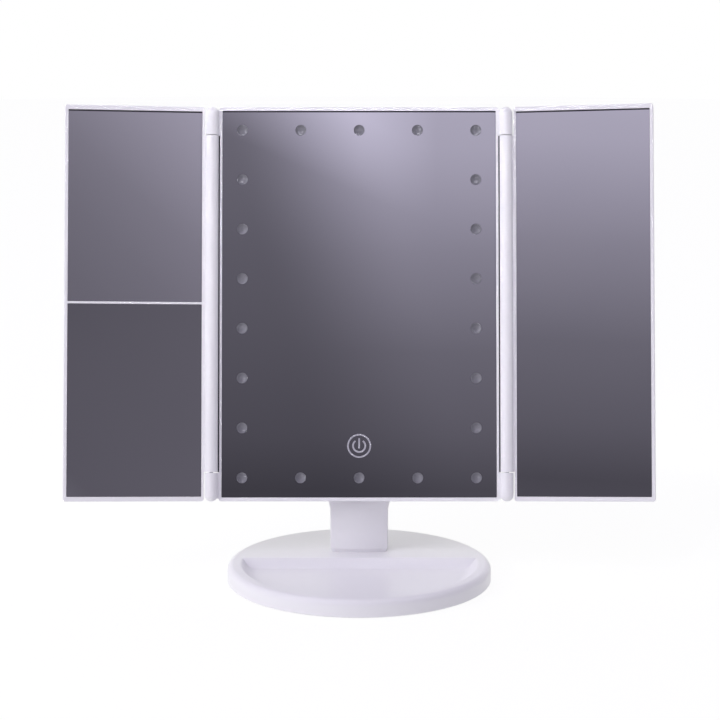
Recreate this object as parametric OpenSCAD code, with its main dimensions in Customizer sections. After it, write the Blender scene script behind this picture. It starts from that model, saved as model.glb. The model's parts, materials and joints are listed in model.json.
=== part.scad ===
// Trifold vanity mirror on a round tray stand, in millimetres.
// The origin is the centre of the base's underside, +Z is up, +X is to the right and the viewer is at -Y.
// Panel parts are drawn upright in the panel's own place: X across from the middle, Y back from
// the front face, Z up from the lower edge. Wing parts are drawn the same way, with X out from the hinge.

/* [Centre panel] */
// Width of the centre panel
panel_w = 163.2; // [150:0.2:180]
// Height of all three panels
panel_h = 230.4; // [215:0.2:250]
// Thickness of the centre panel, without its battery box
panel_t = 12; // [11.6:0.2:14]
// Depth of the front frame, up to the joint with the back shell
frame_depth = 8; // [7.6:0.1:9]
// Width of the rim beside the glass
side_rim = 1.6; // [1.2:0.1:2.4]
// Width of the rim above and below the glass
end_rim = 2.2; // [1.6:0.1:4]
// Depth of the glass below the rim's face
glass_inset = 0.6; // [0.3:0.1:0.8]
// Thickness of the centre glass
glass_t = 3; // [2.4:0.1:3.2]
// Radius of the corners of all three panels
corner_r = 1.6; // [1:0.1:3]
// Radius along the front edges
edge_r = 0.5; // [0.3:0.05:0.8]
// Radius along the back edges
back_edge_r = 1.2; // [0.6:0.1:1.4]
// Width of the ledge that the glass rests on
ledge_w = 3.4; // [2.4:0.1:4]
// Thickness of that ledge
ledge_t = 1.5; // [1:0.1:1.8]
// Wall of the back shell
shell_wall = 1.8; // [1.4:0.1:2.2]
// Gap round each glass in its frame
glass_gap = 0.1; // [0.05:0.05:0.3]
// Depth and width of the groove along the joint between a frame and its back
seam = 0.3; // [0.1:0.05:0.5]

/* [Lights] */
// Diameter of a light window
window_d = 6.4; // [5:0.1:8]
// Lights along the top and along the bottom
light_cols = 5; // [3:1:7]
// Lights down each side, corners included
light_rows = 8; // [4:1:10]
// Distance of the side lights from the glass edge
light_inset_x = 11.8; // [11:0.1:14]
// Distance of the end lights from the glass edge
light_inset_z = 11.4; // [10.6:0.1:14]
// Depth of a lens below the face of the glass
lens_inset = 0.35; // [0.2:0.05:0.8]
// Depth of the dish in the front of a lens
lens_dish = 0.9; // [0.5:0.1:1.4]
// Width of the light board's strips
board_w = 11; // [8:0.5:12]
// Height of the touch mark's centre above the lower edge of the glass
touch_z = 30; // [22:0.5:60]
// Diameter of the touch sensor behind the glass
touch_d = 20; // [14:0.5:24]

/* [Wings] */
// Thickness of a wing
wing_t = 8.6; // [8.2:0.1:10]
// Depth of a wing's front frame
wing_frame_depth = 7; // [6.8:0.1:7.4]
// Width of a wing's rim on its free side
wing_side_rim = 2; // [1.4:0.1:3]
// Width of a wing's rim on its hinge side, from the barrel
wing_hinge_rim = 1.9; // [1.6:0.1:3]
// Width of a wing's rim above and below the glass
wing_end_rim = 2.7; // [2:0.1:4]
// Width of the bar between the two mirrors of the left wing
divider_w = 1.2; // [0.8:0.1:3]
// Thickness of the flat glass in the right wing
wing_glass_t = 2; // [1.6:0.1:3]
// Thickness of the magnifying mirrors at their corners
magnifier_t = 3.6; // [3.4:0.1:4.6]
// Radius of curvature of the upper, weaker magnifying mirror
upper_curve = 2000; // [1000:10:4000]
// Radius of curvature of the lower, stronger magnifying mirror
lower_curve = 1500; // [1000:10:4000]
// Gap left between the free edges when both wings are closed
meeting_gap = 1; // [0.6:0.1:3]
// Angle that the left wing stands forward of flat
left_open = 6.7; // [0:0.1:90]
// Angle that the right wing stands forward of flat
right_open = 9.6; // [0:0.1:90]

/* [Wing hinges] */
// Diameter of the hinge barrels
barrel_d = 7.6; // [6.6:0.1:9]
// Gap between the centre panel's side and a barrel
barrel_gap = 0.5; // [0.4:0.1:1.2]
// Length of the knuckles at the ends of a barrel
knuckle_len = 16.6; // [12:0.2:30]
// Gap between a barrel and a knuckle
knuckle_gap = 0.4; // [0.3:0.05:0.8]
// Distance of the hinge axis in front of the panel's face
axis_front = 0.3; // [0.2:0.05:0.8]
// Diameter of a hinge pin
pin_d = 2.2; // [1.8:0.1:3]
// Length of a hinge pin
pin_len = 23; // [18:0.5:26]
// Running clearance round the pins and the tilt shaft
run_fit = 0.05; // [0.03:0.01:0.08]
// Depth of the webs that join the barrels and knuckles to their frames
web_depth = 5; // [3:0.1:6]

/* [Tilt hinge] */
// Angle that the panels lean back
lean = 13.5; // [2:0.5:30]
// Distance of the tilt axis behind the panel's face
tilt_back = 20.5; // [20.5:0.1:24]
// Height of the tilt axis above the panel's lower edge
tilt_up = 7.5; // [6.8:0.1:10]
// Diameter of the neck's head round the tilt axis
head_d = 15.2; // [13:0.1:15.8]
// Width of the neck's head
head_w = 36.4; // [35:0.2:44]
// Diameter of the tilt shaft
shaft_d = 5; // [4:0.1:6]
// Outside diameter of the bushes in the head
bush_d = 8; // [7.2:0.1:9]
// Length of a bush
bush_len = 9; // [6:0.5:14]
// Thickness of a friction washer
washer_t = 0.6; // [0.4:0.1:1]
// Thickness of a hinge lug on the back shell
lug_t = 5; // [4:0.1:7]
// Radius of a lug round the shaft
lug_r = 6; // [5:0.1:6.4]

/* [Neck] */
// Width of the neck
neck_w = 34.2; // [30:0.2:40]
// Depth of the neck, front to back
neck_d = 16.6; // [14:0.2:18]
// Radius of the neck's upright edges
neck_r = 4.6; // [3:0.1:7]
// Radius of the swell of the neck's front and back faces
neck_swell_r = 62; // [40:1:120]
// Height of the bevel at the foot of the neck
neck_foot = 2.3; // [1:0.1:4]
// Height of the tilt axis above the table
tilt_z = 48; // [44:0.2:70]
// Distance of the neck behind the middle of the base
neck_y = 27.5; // [20:0.5:32]
// Inset of the spigot that plugs into the base
spigot_inset = 1.5; // [1:0.1:2.5]

/* [Base] */
// Diameter of the base
base_d = 153; // [146:1:190]
// Height of the base at its rim
base_h = 10.8; // [10:0.1:16]
// Width of the rim round the tray
base_rim = 7; // [6:0.1:10]
// Radius of the base's upper outer edge
base_edge_r = 3.8; // [2:0.1:4.4]
// Wall of the base shell
base_wall = 2.4; // [2:0.1:2.6]
// Depth of the tray
tray_depth = 5; // [4.6:0.1:5.2]
// Radius of the hollow curve from the tray's floor up to its lip
tray_curve = 9; // [6:0.5:16]
// Radius of the tray's lip
tray_lip = 2.6; // [1:0.1:4]
// Distance of the ramp's top edge behind the middle
ramp_top = 7.8; // [4:0.1:9]
// Length of the ramp from the plateau down to the tray
ramp_run = 6.4; // [4:0.1:12]
// Thickness of the bottom cover
cover_t = 1.6; // [1.4:0.1:1.8]
// Diameter of the non-slip pad
pad_d = 120; // [80:1:124]
// Thickness of the non-slip pad
pad_t = 1.5; // [1.3:0.1:1.6]
// Height of the bottom cover's underside above the table
ground_gap = 0.9; // [0.6:0.1:1]
// Thickness of the steel weight under the plateau
weight_t = 5; // [3:0.1:5.4]

/* [Battery box] */
// Number of cells side by side
cells = 4; // [2:1:4]
// Diameter of a cell
cell_d = 14.5; // [14:0.1:15]
// Length of a cell, with its button
cell_len = 50.5; // [49.5:0.1:52]
// Room for the contacts at each end of the cells
contact_room = 2.4; // [2:0.1:4]
// Height of the box's lower wall above the panel's lower edge
box_z = 24; // [23:0.5:60]
// Thickness of the box's side walls
box_wall = 3.2; // [2.8:0.1:4]
// Thickness of the box's end walls
box_end = 2; // [1.6:0.1:3]
// Thickness of the box's floor
box_floor = 1.2; // [1:0.1:1.6]
// Thickness of the battery cover's tongue
tongue_t = 1.2; // [1:0.1:1.6]
// Thickness of the battery cover's plate over its tongue
lid_t = 1.6; // [1.4:0.1:2.4]
// Sliding clearance round the battery cover
slide_gap = 0.1; // [0.08:0.01:0.2]

/* [Fasteners] */
// Thread diameter of the self-tapping screws
screw_d = 2.6; // [2.2:0.1:3]
// Head diameter of the screws
screw_head_d = 4.4; // [4:0.1:4.8]
// Head height of the screws
screw_head_t = 1.2; // [0.8:0.1:1.2]

/* [Hidden] */
$fn = 48;

over = 1;                                   // how far a cut runs past the face it opens
bite = 0.5;                                 // how far one form of a solid runs into the next
hold = 0.02;                                // clearance of a fixed fit

// Centre panel, front to back
glass_w = panel_w - 2 * side_rim;
glass_h = panel_h - 2 * end_rim;
seat_y = glass_inset + glass_t;
ledge_y = seat_y + ledge_t;
inner_w = glass_w - 2 * ledge_w;
inner_h = glass_h - 2 * ledge_w;
shell_y = panel_t - shell_wall;

// Lights
light_x = glass_w / 2 - light_inset_x;
light_z = end_rim + light_inset_z;
light_rise = glass_h - 2 * light_inset_z;
light_spots = concat(
    [for (s = [-1, 1]) for (i = [0 : light_rows - 1])
        [s * light_x, light_z + i * light_rise / (light_rows - 1)]],
    [for (e = [0, 1]) for (i = [1 : light_cols - 2])
        [light_x * (2 * i / (light_cols - 1) - 1), light_z + e * light_rise]]
);
flange_d = window_d + 1.2;
flange_t = 0.9;
flange_y = seat_y + 0.1;
light_frame_t = 2;
light_frame_w = 2 * light_inset_x - ledge_w - 4;
chip_t = 0.9;
board_y = flange_y + light_frame_t;
board_t = 1;
touch_t = 1;
touch_centre = end_rim + touch_z;

// Wings
barrel_r = barrel_d / 2;
hinge_x = panel_w / 2 + barrel_gap + barrel_r;
knuckle_end = knuckle_len + knuckle_gap;
end_flat = 0.1;
wing_start = barrel_r + 0.5;
wing_reach = hinge_x - meeting_gap / 2;
wing_w = wing_reach - wing_start;
wing_mid = (wing_reach + wing_start) / 2;
wing_glass_in = barrel_r + wing_hinge_rim;
wing_glass_w = wing_reach - wing_side_rim - wing_glass_in;
wing_glass_mid = wing_glass_in + wing_glass_w / 2;
wing_glass_h = panel_h - 2 * wing_end_rim;
magnifier_h = (wing_glass_h - divider_w) / 2;
wing_ledge_w = 2.6;
wing_ledge_t = 1.1;
flat_seat = glass_inset + wing_glass_t;
magnifier_seat = glass_inset + magnifier_t;
rings = 16;
lip_t = 0.6;
pin_start = knuckle_len + knuckle_gap / 2 - pin_len / 2;

// Tilt hinge
lug_x = head_w / 2 + washer_t + 0.1;
shaft_len = 2 * (lug_x + lug_t);
shaft_head_d = shaft_d + 3.4;
shaft_head_t = 1.6;
nut_d = shaft_d + 3.6;
nut_t = 2.2;

// Battery box
cell_pitch = cell_d + 0.6;
cell_button_d = 5.4;
contact_w = 9;
contact_t = 0.4;
cell_button_t = 1.2;
box_w = cells * cell_pitch + 0.4;
box_l = cell_len + 2 * contact_room;
box_y = ledge_y + 0.6;
box_inner_z = box_z + box_end;
cell_y = box_y + box_floor + 0.2 + cell_d / 2;
tongue_y = cell_y + cell_d / 2 + 0.3;
lid_y = tongue_y + tongue_t + slide_gap;
box_back = lid_y + lid_t;
tongue_w = 1.4;
lid_top = box_inner_z + box_l + box_end;

// Base
base_r = base_d / 2;
tray_r = base_r - base_rim;
tray_z = base_h - tray_depth;
tray_sweep = acos(1 - tray_depth / (tray_curve + tray_lip));
tray_flat_r = tray_r - (tray_curve + tray_lip) * sin(tray_sweep);
cover_top = ground_gap + cover_t;
cover_r = base_r - base_wall - 0.2;
base_screw_r = base_r - base_wall - 3.1;
spigot_w = neck_w - 2 * spigot_inset;
spigot_d = neck_d - 2 * spigot_inset;
spigot_z = cover_top + 0.4;
socket_wall = 2.2;
socket_z = cover_top + 0.6;
neck_screw_x = neck_w / 4;
neck_screw_seat = pad_t;
base_screw_seat = ground_gap + screw_head_t * 0.6;
weight_z = cover_top + 0.1;

// Screws
screw_hole_d = screw_d + 0.3;
head_hole_d = screw_head_d + 0.4;
pilot_d = screw_d;
screw_slot = 0.5;
back_screw_len = 6.4;
base_screw_len = 4.4;
neck_screw_len = 12;
boss_d = screw_d + 2.6;
back_screw_x = panel_w / 2 - side_rim - boss_d / 2 + bite;
back_screw_end = 22;
back_screw_zs = [back_screw_end, panel_h / 2, panel_h - back_screw_end];

// USB inlet, in the lower edge of the back shell
usb_w = 7.6;
usb_t = 2.6;
usb_len = 6;
usb_y = frame_depth + 0.5;
usb_z = 0.6;
usb_wall = 0.5;
control_w = 26;
control_h = 30;
control_t = 1;
usb_x = -(box_w / 2 + box_wall + control_w / 2 + 1);

white = "#f3f1f6";
pale = "#e6e4ea";

// ---- placing ----

// Leans the panels back on the tilt axis
module at_panel() {
    translate([0, neck_y, tilt_z]) rotate([-lean, 0, 0]) translate([0, -tilt_back, -tilt_up]) children();
}

// Hangs a wing on its hinge axis: side is -1 for the left wing and 1 for the right one
module at_wing(side) {
    open = side < 0 ? left_open : right_open;
    at_panel() translate([side * hinge_x, -axis_front, 0]) rotate([0, 0, -side * open])
        translate([0, axis_front, 0])
            if (side < 0) mirror([1, 0, 0]) children();
            else children();
}

// ---- shared forms ----

// A rounded rectangle that stands on the X axis
module plate(w, h, r) {
    translate([-w / 2, r]) square([w, h - 2 * r]);
    translate([r - w / 2, 0]) square([w - 2 * r, h]);
    for (x = [r - w / 2, w / 2 - r]) for (y = [r, h - r]) translate([x, y]) circle(r);
}

// An upright slab from depth y0 back to y1, standing on height z0
module slab(w, h, y0, y1, r, z0 = 0) {
    translate([0, y1, z0]) rotate([90, 0, 0]) linear_extrude(y1 - y0) plate(w, h, r);
}

// A round bar that points back, from depth y0 to y1
module y_rod(d, y0, y1) {
    translate([0, y1, 0]) rotate([90, 0, 0]) cylinder(d = d, h = y1 - y0);
}

// A round bar along X, centred
module x_rod(d, len) {
    rotate([0, 90, 0]) cylinder(d = d, h = len, center = true);
}

// What rounding takes off one edge along X: the solid lies on its +Y, +Z side
module edge_cut(len, r) {
    difference() {
        translate([-len / 2, -over, -over]) cube([len, over + r, over + r]);
        translate([0, r, r]) x_rod(2 * r, len + 2 * over);
    }
}

// The four edge cuts round the face of an upright slab, at depth 0 and facing forward
module face_edges(w, h, r) {
    edge_cut(w + 2 * over, r);
    translate([0, 0, h]) mirror([0, 0, 1]) edge_cut(w + 2 * over, r);
    for (s = [-1, 1]) translate([s * w / 2, 0, h / 2]) rotate([0, -s * 90, 0]) edge_cut(h + 2 * over, r);
}

// The same cuts round a slab's back, which faces away at depth y
module back_edges(w, h, y, r) {
    translate([0, y, 0]) mirror([0, 1, 0]) face_edges(w, h, r);
}

// The groove that a back has round its front edge, where it meets its frame at depth y
module seam_groove(w, h, y) {
    difference() {
        slab(w + 2 * over, h + 2 * over, y - over, y + seam, corner_r, -over);
        slab(w - 2 * seam, h - 2 * seam, y - 2 * over, y + 2 * seam, corner_r - seam, seam);
    }
}

// A screw that points up, its head's seat at height 0 and its thread len long
module screw(len) {
    difference() {
        translate([0, 0, -screw_head_t]) cylinder(d = screw_head_d, h = screw_head_t);
        for (a = [0, 90]) rotate(a) translate([0, 0, -screw_head_t])
            cube([screw_head_d * 0.6, screw_slot, screw_head_t], center = true);
    }
    cylinder(d = screw_d - 2 * hold, h = len);
}

// ---- base ----

module at_base_screws() {
    for (a = [45 : 90 : 315]) rotate(a) translate([base_screw_r, 0, 0]) children();
}

// Outline of the base, to be turned round Z
function base_outline() = concat(
    [[0, ground_gap], [base_r - 0.6, ground_gap], [base_r, ground_gap + 0.6]],
    [for (a = [0 : 10 : 90])
        [base_r - base_edge_r * (1 - cos(a)), base_h - base_edge_r * (1 - sin(a))]],
    [[0, base_h]]
);

// Outline of the tray's hollow, to be turned round Z: flat floor, hollow curve and rounded lip
function tray_outline() = concat(
    [[0, tray_z]],
    [for (i = [0 : 8]) let (a = tray_sweep * i / 8)
        [tray_flat_r + tray_curve * sin(a), tray_z + tray_curve * (1 - cos(a))]],
    [for (i = [6 : -1 : 0]) let (a = tray_sweep * i / 6)
        [tray_r - tray_lip * sin(a), base_h - tray_lip * (1 - cos(a))]],
    [[tray_r, base_h + over], [0, base_h + over]]
);

// Side view of the tray: the ramp rises ever steeper to the plateau's edge
function ramp_outline() = concat(
    [[-base_d, 0], [-base_d, base_h + 2 * over], [ramp_top + 0.6, base_h + 2 * over],
     [ramp_top + 0.6, base_h + 0.05]],
    [for (i = [0 : 10]) let (t = 1 - i / 10)
        [ramp_top - ramp_run * (1 - t), tray_z + tray_depth * pow(t, 1.4)]],
    [[ramp_top - ramp_run, 0]]
);

module tray_hollow() {
    intersection() {
        rotate_extrude($fn = 96) polygon(tray_outline());
        rotate([90, 0, 90]) linear_extrude(2 * base_d, center = true) polygon(ramp_outline());
    }
}

// The neck's cross-section, swollen at front and back
module neck_section(inset) {
    w = neck_w - 2 * inset;
    d = neck_d - 2 * inset;
    intersection() {
        translate([0, -d / 2]) plate(w, d, neck_r);
        translate([0, d / 2 - neck_swell_r]) circle(neck_swell_r, $fn = 180);
        translate([0, neck_swell_r - d / 2]) circle(neck_swell_r, $fn = 180);
    }
}

// What the base shell is hollowed by: all but the tray's skin, the screw bosses and the neck's socket
module base_cavity() {
    difference() {
        translate([0, 0, -over]) cylinder(r = base_r - base_wall, h = base_h - base_wall + over, $fn = 96);
        translate([0, base_wall / 2, -base_wall]) tray_hollow();
        at_base_screws() translate([0, 0, cover_top]) cylinder(d = boss_d, h = base_h);
        translate([0, neck_y, socket_z]) linear_extrude(base_h) neck_section(spigot_inset - socket_wall);
    }
}

module base_shell() color(white) difference() {
    rotate_extrude($fn = 96) polygon(base_outline());
    tray_hollow();
    base_cavity();
    translate([0, neck_y, -over]) linear_extrude(base_h + 2 * over) neck_section(spigot_inset - run_fit);
    at_base_screws() translate([0, 0, cover_top - over]) cylinder(d = pilot_d, h = base_screw_len + 2 * over);
}

module base_bottom_cover() color(pale) difference() {
    translate([0, 0, ground_gap]) cylinder(r = cover_r, h = cover_t, $fn = 96);
    translate([0, 0, -over]) cylinder(d = pad_d + 0.4, h = pad_t + over, $fn = 96);
    at_base_screws() {
        cylinder(d = screw_hole_d, h = base_h);
        cylinder(d = head_hole_d, h = base_screw_seat);
    }
    for (s = [-1, 1]) translate([s * neck_screw_x, neck_y, 0]) cylinder(d = screw_hole_d, h = base_h);
}

module base_weight() color("slategray") difference() {
    translate([0, 0, weight_z]) cylinder(r = base_screw_r - boss_d / 2 - 0.6, h = weight_t, $fn = 96);
    translate([-base_r, -base_d + ramp_top + base_wall, 0]) cube([base_d, base_d, base_h]);
    translate([0, neck_y, 0]) linear_extrude(base_h) neck_section(spigot_inset - socket_wall - 0.6);
}

module non_slip_pad() color("dimgray") difference() {
    cylinder(d = pad_d, h = pad_t, $fn = 96);
    for (s = [-1, 1]) translate([s * neck_screw_x, neck_y, -over])
        cylinder(d = head_hole_d, h = pad_t + 2 * over);
}

module base_screws() color("silver")
    at_base_screws() translate([0, 0, base_screw_seat]) screw(cover_top + base_screw_len - base_screw_seat);

// ---- neck ----

module neck() color(white) difference() {
    union() {
        translate([0, neck_y, spigot_z]) linear_extrude(base_h - spigot_z + bite) neck_section(spigot_inset);
        hull() {
            translate([0, neck_y, base_h]) linear_extrude(0.2, $fn = 32) neck_section(0.9);
            translate([0, neck_y, base_h + neck_foot]) linear_extrude(0.2, $fn = 32) neck_section(0);
        }
        translate([0, neck_y, base_h + neck_foot]) linear_extrude(tilt_z - head_d * 0.75 - base_h - neck_foot)
            neck_section(0);
        hull() {
            translate([0, neck_y, tilt_z - head_d * 0.75]) linear_extrude(0.2, $fn = 32) neck_section(0);
            translate([0, neck_y, tilt_z]) x_rod(head_d, head_w, $fn = 48);
        }
    }
    translate([0, neck_y, tilt_z]) {
        x_rod(shaft_d + 0.6, head_w + 2 * over);
        for (s = [-1, 1]) translate([s * (head_w / 2 - bush_len / 2 + over / 2), 0, 0])
            x_rod(bush_d + 2 * hold, bush_len + over);
    }
    for (s = [-1, 1]) translate([s * neck_screw_x, neck_y, spigot_z - over])
        cylinder(d = pilot_d, h = neck_screw_len + 2 * over);
}

module neck_screws() color("silver")
    for (s = [-1, 1]) translate([s * neck_screw_x, neck_y, neck_screw_seat])
        screw(spigot_z + neck_screw_len - neck_screw_seat);

module tilt_bushes() color("ivory") translate([0, neck_y, tilt_z])
    for (s = [-1, 1]) translate([s * (head_w - bush_len) / 2, 0, 0]) difference() {
        x_rod(bush_d, bush_len);
        x_rod(shaft_d + 2 * run_fit, bush_len + 2 * over);
    }

module friction_washers() color("silver") translate([0, neck_y, tilt_z])
    for (s = [-1, 1]) translate([s * (head_w + washer_t) / 2, 0, 0]) difference() {
        x_rod(head_d - 3.4, washer_t);
        x_rod(shaft_d + 2 * run_fit, washer_t + over);
    }

// ---- centre panel ----

// One round-ended knuckle with its web, on the axis and facing the panel at -X; its very tip is flat
module end_knuckle() {
    web = barrel_r + barrel_gap + bite;
    translate([0, -axis_front, 0]) rotate_extrude() intersection() {
        square([barrel_d, knuckle_len]);
        translate([0, barrel_r - end_flat]) union() {
            circle(barrel_r);
            square([barrel_r, knuckle_len]);
        }
    }
    translate([-web, 0, corner_r]) cube([web, web_depth, knuckle_len - corner_r]);
}

// Puts something on all four ends of the two hinges
module at_knuckles() {
    for (s = [0, 1]) mirror([s, 0, 0]) translate([hinge_x, 0, 0]) {
        children();
        translate([0, 0, panel_h]) mirror([0, 0, 1]) children();
    }
}

module at_back_screws() {
    for (s = [-1, 1]) for (z = back_screw_zs) translate([s * back_screw_x, 0, z]) children();
}

module centre_frame() color(white) at_panel() difference() {
    union() {
        difference() {
            slab(panel_w, panel_h, 0, frame_depth, corner_r);
            slab(glass_w, glass_h, -over, seat_y, 0.4, end_rim);
            slab(inner_w, inner_h, -over, frame_depth + over, 1, end_rim + ledge_w);
            slab(glass_w, glass_h, ledge_y, frame_depth + over, 0.4, end_rim);
            face_edges(panel_w, panel_h, edge_r);
        }
        at_back_screws() y_rod(boss_d, seat_y + ledge_t / 2, frame_depth);
        at_knuckles() end_knuckle();
    }
    at_back_screws() y_rod(pilot_d, seat_y + 0.4, frame_depth + over);
    at_knuckles() translate([0, -axis_front, pin_start]) cylinder(d = pin_d + 2 * hold, h = knuckle_len);
}

// A hinge lug's side view, with a gusset up the shell's back
module lug_section() {
    circle(lug_r);
    translate([panel_t - bite - tilt_back, -lug_r]) square([tilt_back - panel_t + bite, 2 * lug_r]);
    polygon([[panel_t - bite - tilt_back, 0], [0, lug_r], [panel_t - tilt_back, 2.1 * lug_r],
             [panel_t - bite - tilt_back, 2.1 * lug_r]]);
}

module centre_back_shell() color(white) at_panel() difference() {
    union() {
        difference() {
            slab(panel_w, panel_h, frame_depth, panel_t, corner_r);
            slab(glass_w, glass_h, frame_depth - over, shell_y, 0.4, end_rim);
            back_edges(panel_w, panel_h, panel_t, back_edge_r);
            seam_groove(panel_w, panel_h, frame_depth);
        }
        translate([0, 0, box_z]) difference() {
            slab(box_w + 2 * box_wall, box_l + 2 * box_end, box_y, box_back, 2);
            back_edges(box_w + 2 * box_wall, box_l + 2 * box_end, box_back, 1.2);
        }
        at_back_screws() y_rod(boss_d + 1.2, frame_depth, panel_t - bite);
        for (s = [-1, 1]) translate([s * (lug_x + lug_t / 2), tilt_back, tilt_up])
            rotate([90, 0, 90]) linear_extrude(lug_t, center = true) lug_section();
    }
    translate([-box_w / 2, box_y + box_floor, box_inner_z]) cube([box_w, box_back, box_l]);
    translate([-box_w / 2 - tongue_w, tongue_y, box_inner_z])
        cube([box_w + 2 * tongue_w, tongue_t + 2 * slide_gap, box_l + box_end + over]);
    translate([-box_w / 2, tongue_y, box_inner_z]) cube([box_w, box_back, box_l + box_end + over]);
    at_back_screws() {
        y_rod(screw_hole_d, frame_depth - over, panel_t + over);
        y_rod(head_hole_d, panel_t - screw_head_t - 0.1, panel_t + over);
    }
    translate([0, tilt_back, tilt_up]) x_rod(shaft_d + 2 * hold, shaft_len + 2 * over);
    translate([usb_x - usb_w / 2 - slide_gap, usb_y - slide_gap, -over])
        cube([usb_w + 2 * slide_gap, usb_t + 2 * slide_gap, usb_z + usb_len + slide_gap + over]);
}

module centre_mirror() color("#8f8c98") at_panel() difference() {
    slab(glass_w - 2 * glass_gap, glass_h - 2 * glass_gap, glass_inset, seat_y, 0.4, end_rim + glass_gap);
    for (p = light_spots) translate([p[0], 0, p[1]]) y_rod(window_d, glass_inset - over, seat_y + over);
}

// A frosted lens: a dished plug in the glass, with a flange behind it
module light_lens() {
    dish_r = window_d / 2 - 0.4;
    ball_r = (dish_r * dish_r + lens_dish * lens_dish) / (2 * lens_dish);
    difference() {
        union() {
            y_rod(window_d - 2 * run_fit, glass_inset + lens_inset, flange_y + bite);
            y_rod(flange_d, flange_y, flange_y + flange_t);
        }
        translate([0, glass_inset + lens_inset + lens_dish - ball_r, 0]) sphere(ball_r);
    }
}

module light_lenses() color("#9b99a3") at_panel()
    for (p = light_spots) translate([p[0], 0, p[1]]) light_lens();

module light_frame() color(pale) at_panel() difference() {
    slab(inner_w - 0.4, inner_h - 0.4, flange_y, board_y, 0.8, end_rim + ledge_w + 0.2);
    slab(inner_w - 2 * light_frame_w, inner_h - 2 * light_frame_w, 0, panel_t, 2,
         end_rim + ledge_w + light_frame_w);
    for (p = light_spots) translate([p[0], 0, p[1]]) y_rod(flange_d + 0.1, 0, panel_t);
    at_back_screws() y_rod(boss_d + 0.6, 0, panel_t);
}

module light_board() color("seagreen") at_panel() difference() {
    slab(2 * light_x + board_w, light_rise + board_w, board_y, board_y + board_t, 1, light_z - board_w / 2);
    slab(2 * light_x - board_w, light_rise - board_w, 0, panel_t, 1, light_z + board_w / 2);
}

module light_chips() color("khaki") at_panel() for (p = light_spots)
    translate([p[0] - 1.5, board_y - chip_t, p[1] - 1.5]) cube([3, chip_t, 3]);

module touch_sensor() color("seagreen") at_panel() translate([0, 0, touch_centre])
    y_rod(touch_d, seat_y, seat_y + touch_t);

module control_board() color("seagreen") at_panel()
    translate([usb_x - control_w / 2, usb_y - control_t, end_rim + 0.4])
        cube([control_w, control_t, control_h]);

module usb_socket() color("silver") at_panel() translate([usb_x - usb_w / 2, usb_y, usb_z]) difference() {
    cube([usb_w, usb_t, usb_len]);
    translate([usb_wall, usb_wall, -over])
        cube([usb_w - 2 * usb_wall, usb_t - 2 * usb_wall, usb_len + over - usb_wall]);
}

// One leaf contact: a plate on the end wall with a sprung nose towards the cell
module leaf_contact() {
    reach = cell_d * 0.4;
    rotate([90, 0, 90]) linear_extrude(contact_w, center = true)
        polygon([[-reach, 0], [reach, 0], [reach, contact_t], [reach * 0.6, contact_t],
                 [0, contact_room - slide_gap], [-reach * 0.6, contact_t], [-reach, contact_t]]);
}

module battery_contacts() color("silver") at_panel()
    for (i = [0 : cells - 1]) translate([(i - (cells - 1) / 2) * cell_pitch, cell_y, box_inner_z]) {
        leaf_contact();
        translate([0, 0, box_l]) mirror([0, 0, 1]) leaf_contact();
    }

// The cells lie side by side, every second one with its button end down
module battery_cells() color("steelblue") at_panel()
    for (i = [0 : cells - 1]) translate([(i - (cells - 1) / 2) * cell_pitch, cell_y, box_inner_z + box_l / 2])
        mirror([0, 0, i % 2]) translate([0, 0, -cell_len / 2]) {
            cylinder(d = cell_d, h = cell_len - cell_button_t);
            cylinder(d = cell_button_d, h = cell_len);
        }

module battery_cover() color(white) at_panel() {
    len = lid_top - box_inner_z - 2 * slide_gap;
    translate([-box_w / 2 - tongue_w + slide_gap, tongue_y + slide_gap, box_inner_z + slide_gap])
        cube([box_w + 2 * (tongue_w - slide_gap), tongue_t, len]);
    translate([-box_w / 2 + slide_gap, tongue_y + slide_gap, box_inner_z + slide_gap])
        cube([box_w - 2 * slide_gap, lid_t + tongue_t, len]);
    for (i = [0 : 4]) translate([0, box_back, box_inner_z + box_l - 16 + 2.4 * i]) x_rod(1.2, box_w / 3);
}

module back_screws() color("silver") at_panel() at_back_screws()
    translate([0, panel_t - screw_head_t - 0.1, 0]) rotate([90, 0, 0]) screw(back_screw_len);

module tilt_shaft() color("silver") at_panel() translate([0, tilt_back, tilt_up]) {
    x_rod(shaft_d, shaft_len);
    translate([-shaft_len / 2 - shaft_head_t / 2, 0, 0]) x_rod(shaft_head_d, shaft_head_t);
    translate([shaft_len / 2, 0, 0]) x_rod(shaft_d - 1, 2 * nut_t + 0.6);
}

module tilt_nut() color("silver") at_panel() translate([shaft_len / 2 + nut_t / 2, tilt_back, tilt_up])
    difference() {
        rotate([0, 90, 0]) cylinder(d = nut_d / cos(30), h = nut_t, center = true, $fn = 6);
        x_rod(shaft_d - 1 + 2 * hold, nut_t + 2 * over);
    }

module wing_hinge_pins() color("silver") at_panel()
    at_knuckles() translate([0, -axis_front, pin_start]) cylinder(d = pin_d, h = pin_len);

// ---- wings ----

// The openings of a wing's frame, one or two above each other, each smaller by inset all round
module wing_openings(count, y0, y1, inset) {
    pitch = (wing_glass_h + divider_w) / count;
    for (i = [0 : count - 1])
        translate([wing_glass_mid, 0, 0])
            slab(wing_glass_w - 2 * inset, pitch - divider_w - 2 * inset, y0, y1, 0.4,
                 wing_end_rim + i * pitch + inset);
}

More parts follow.
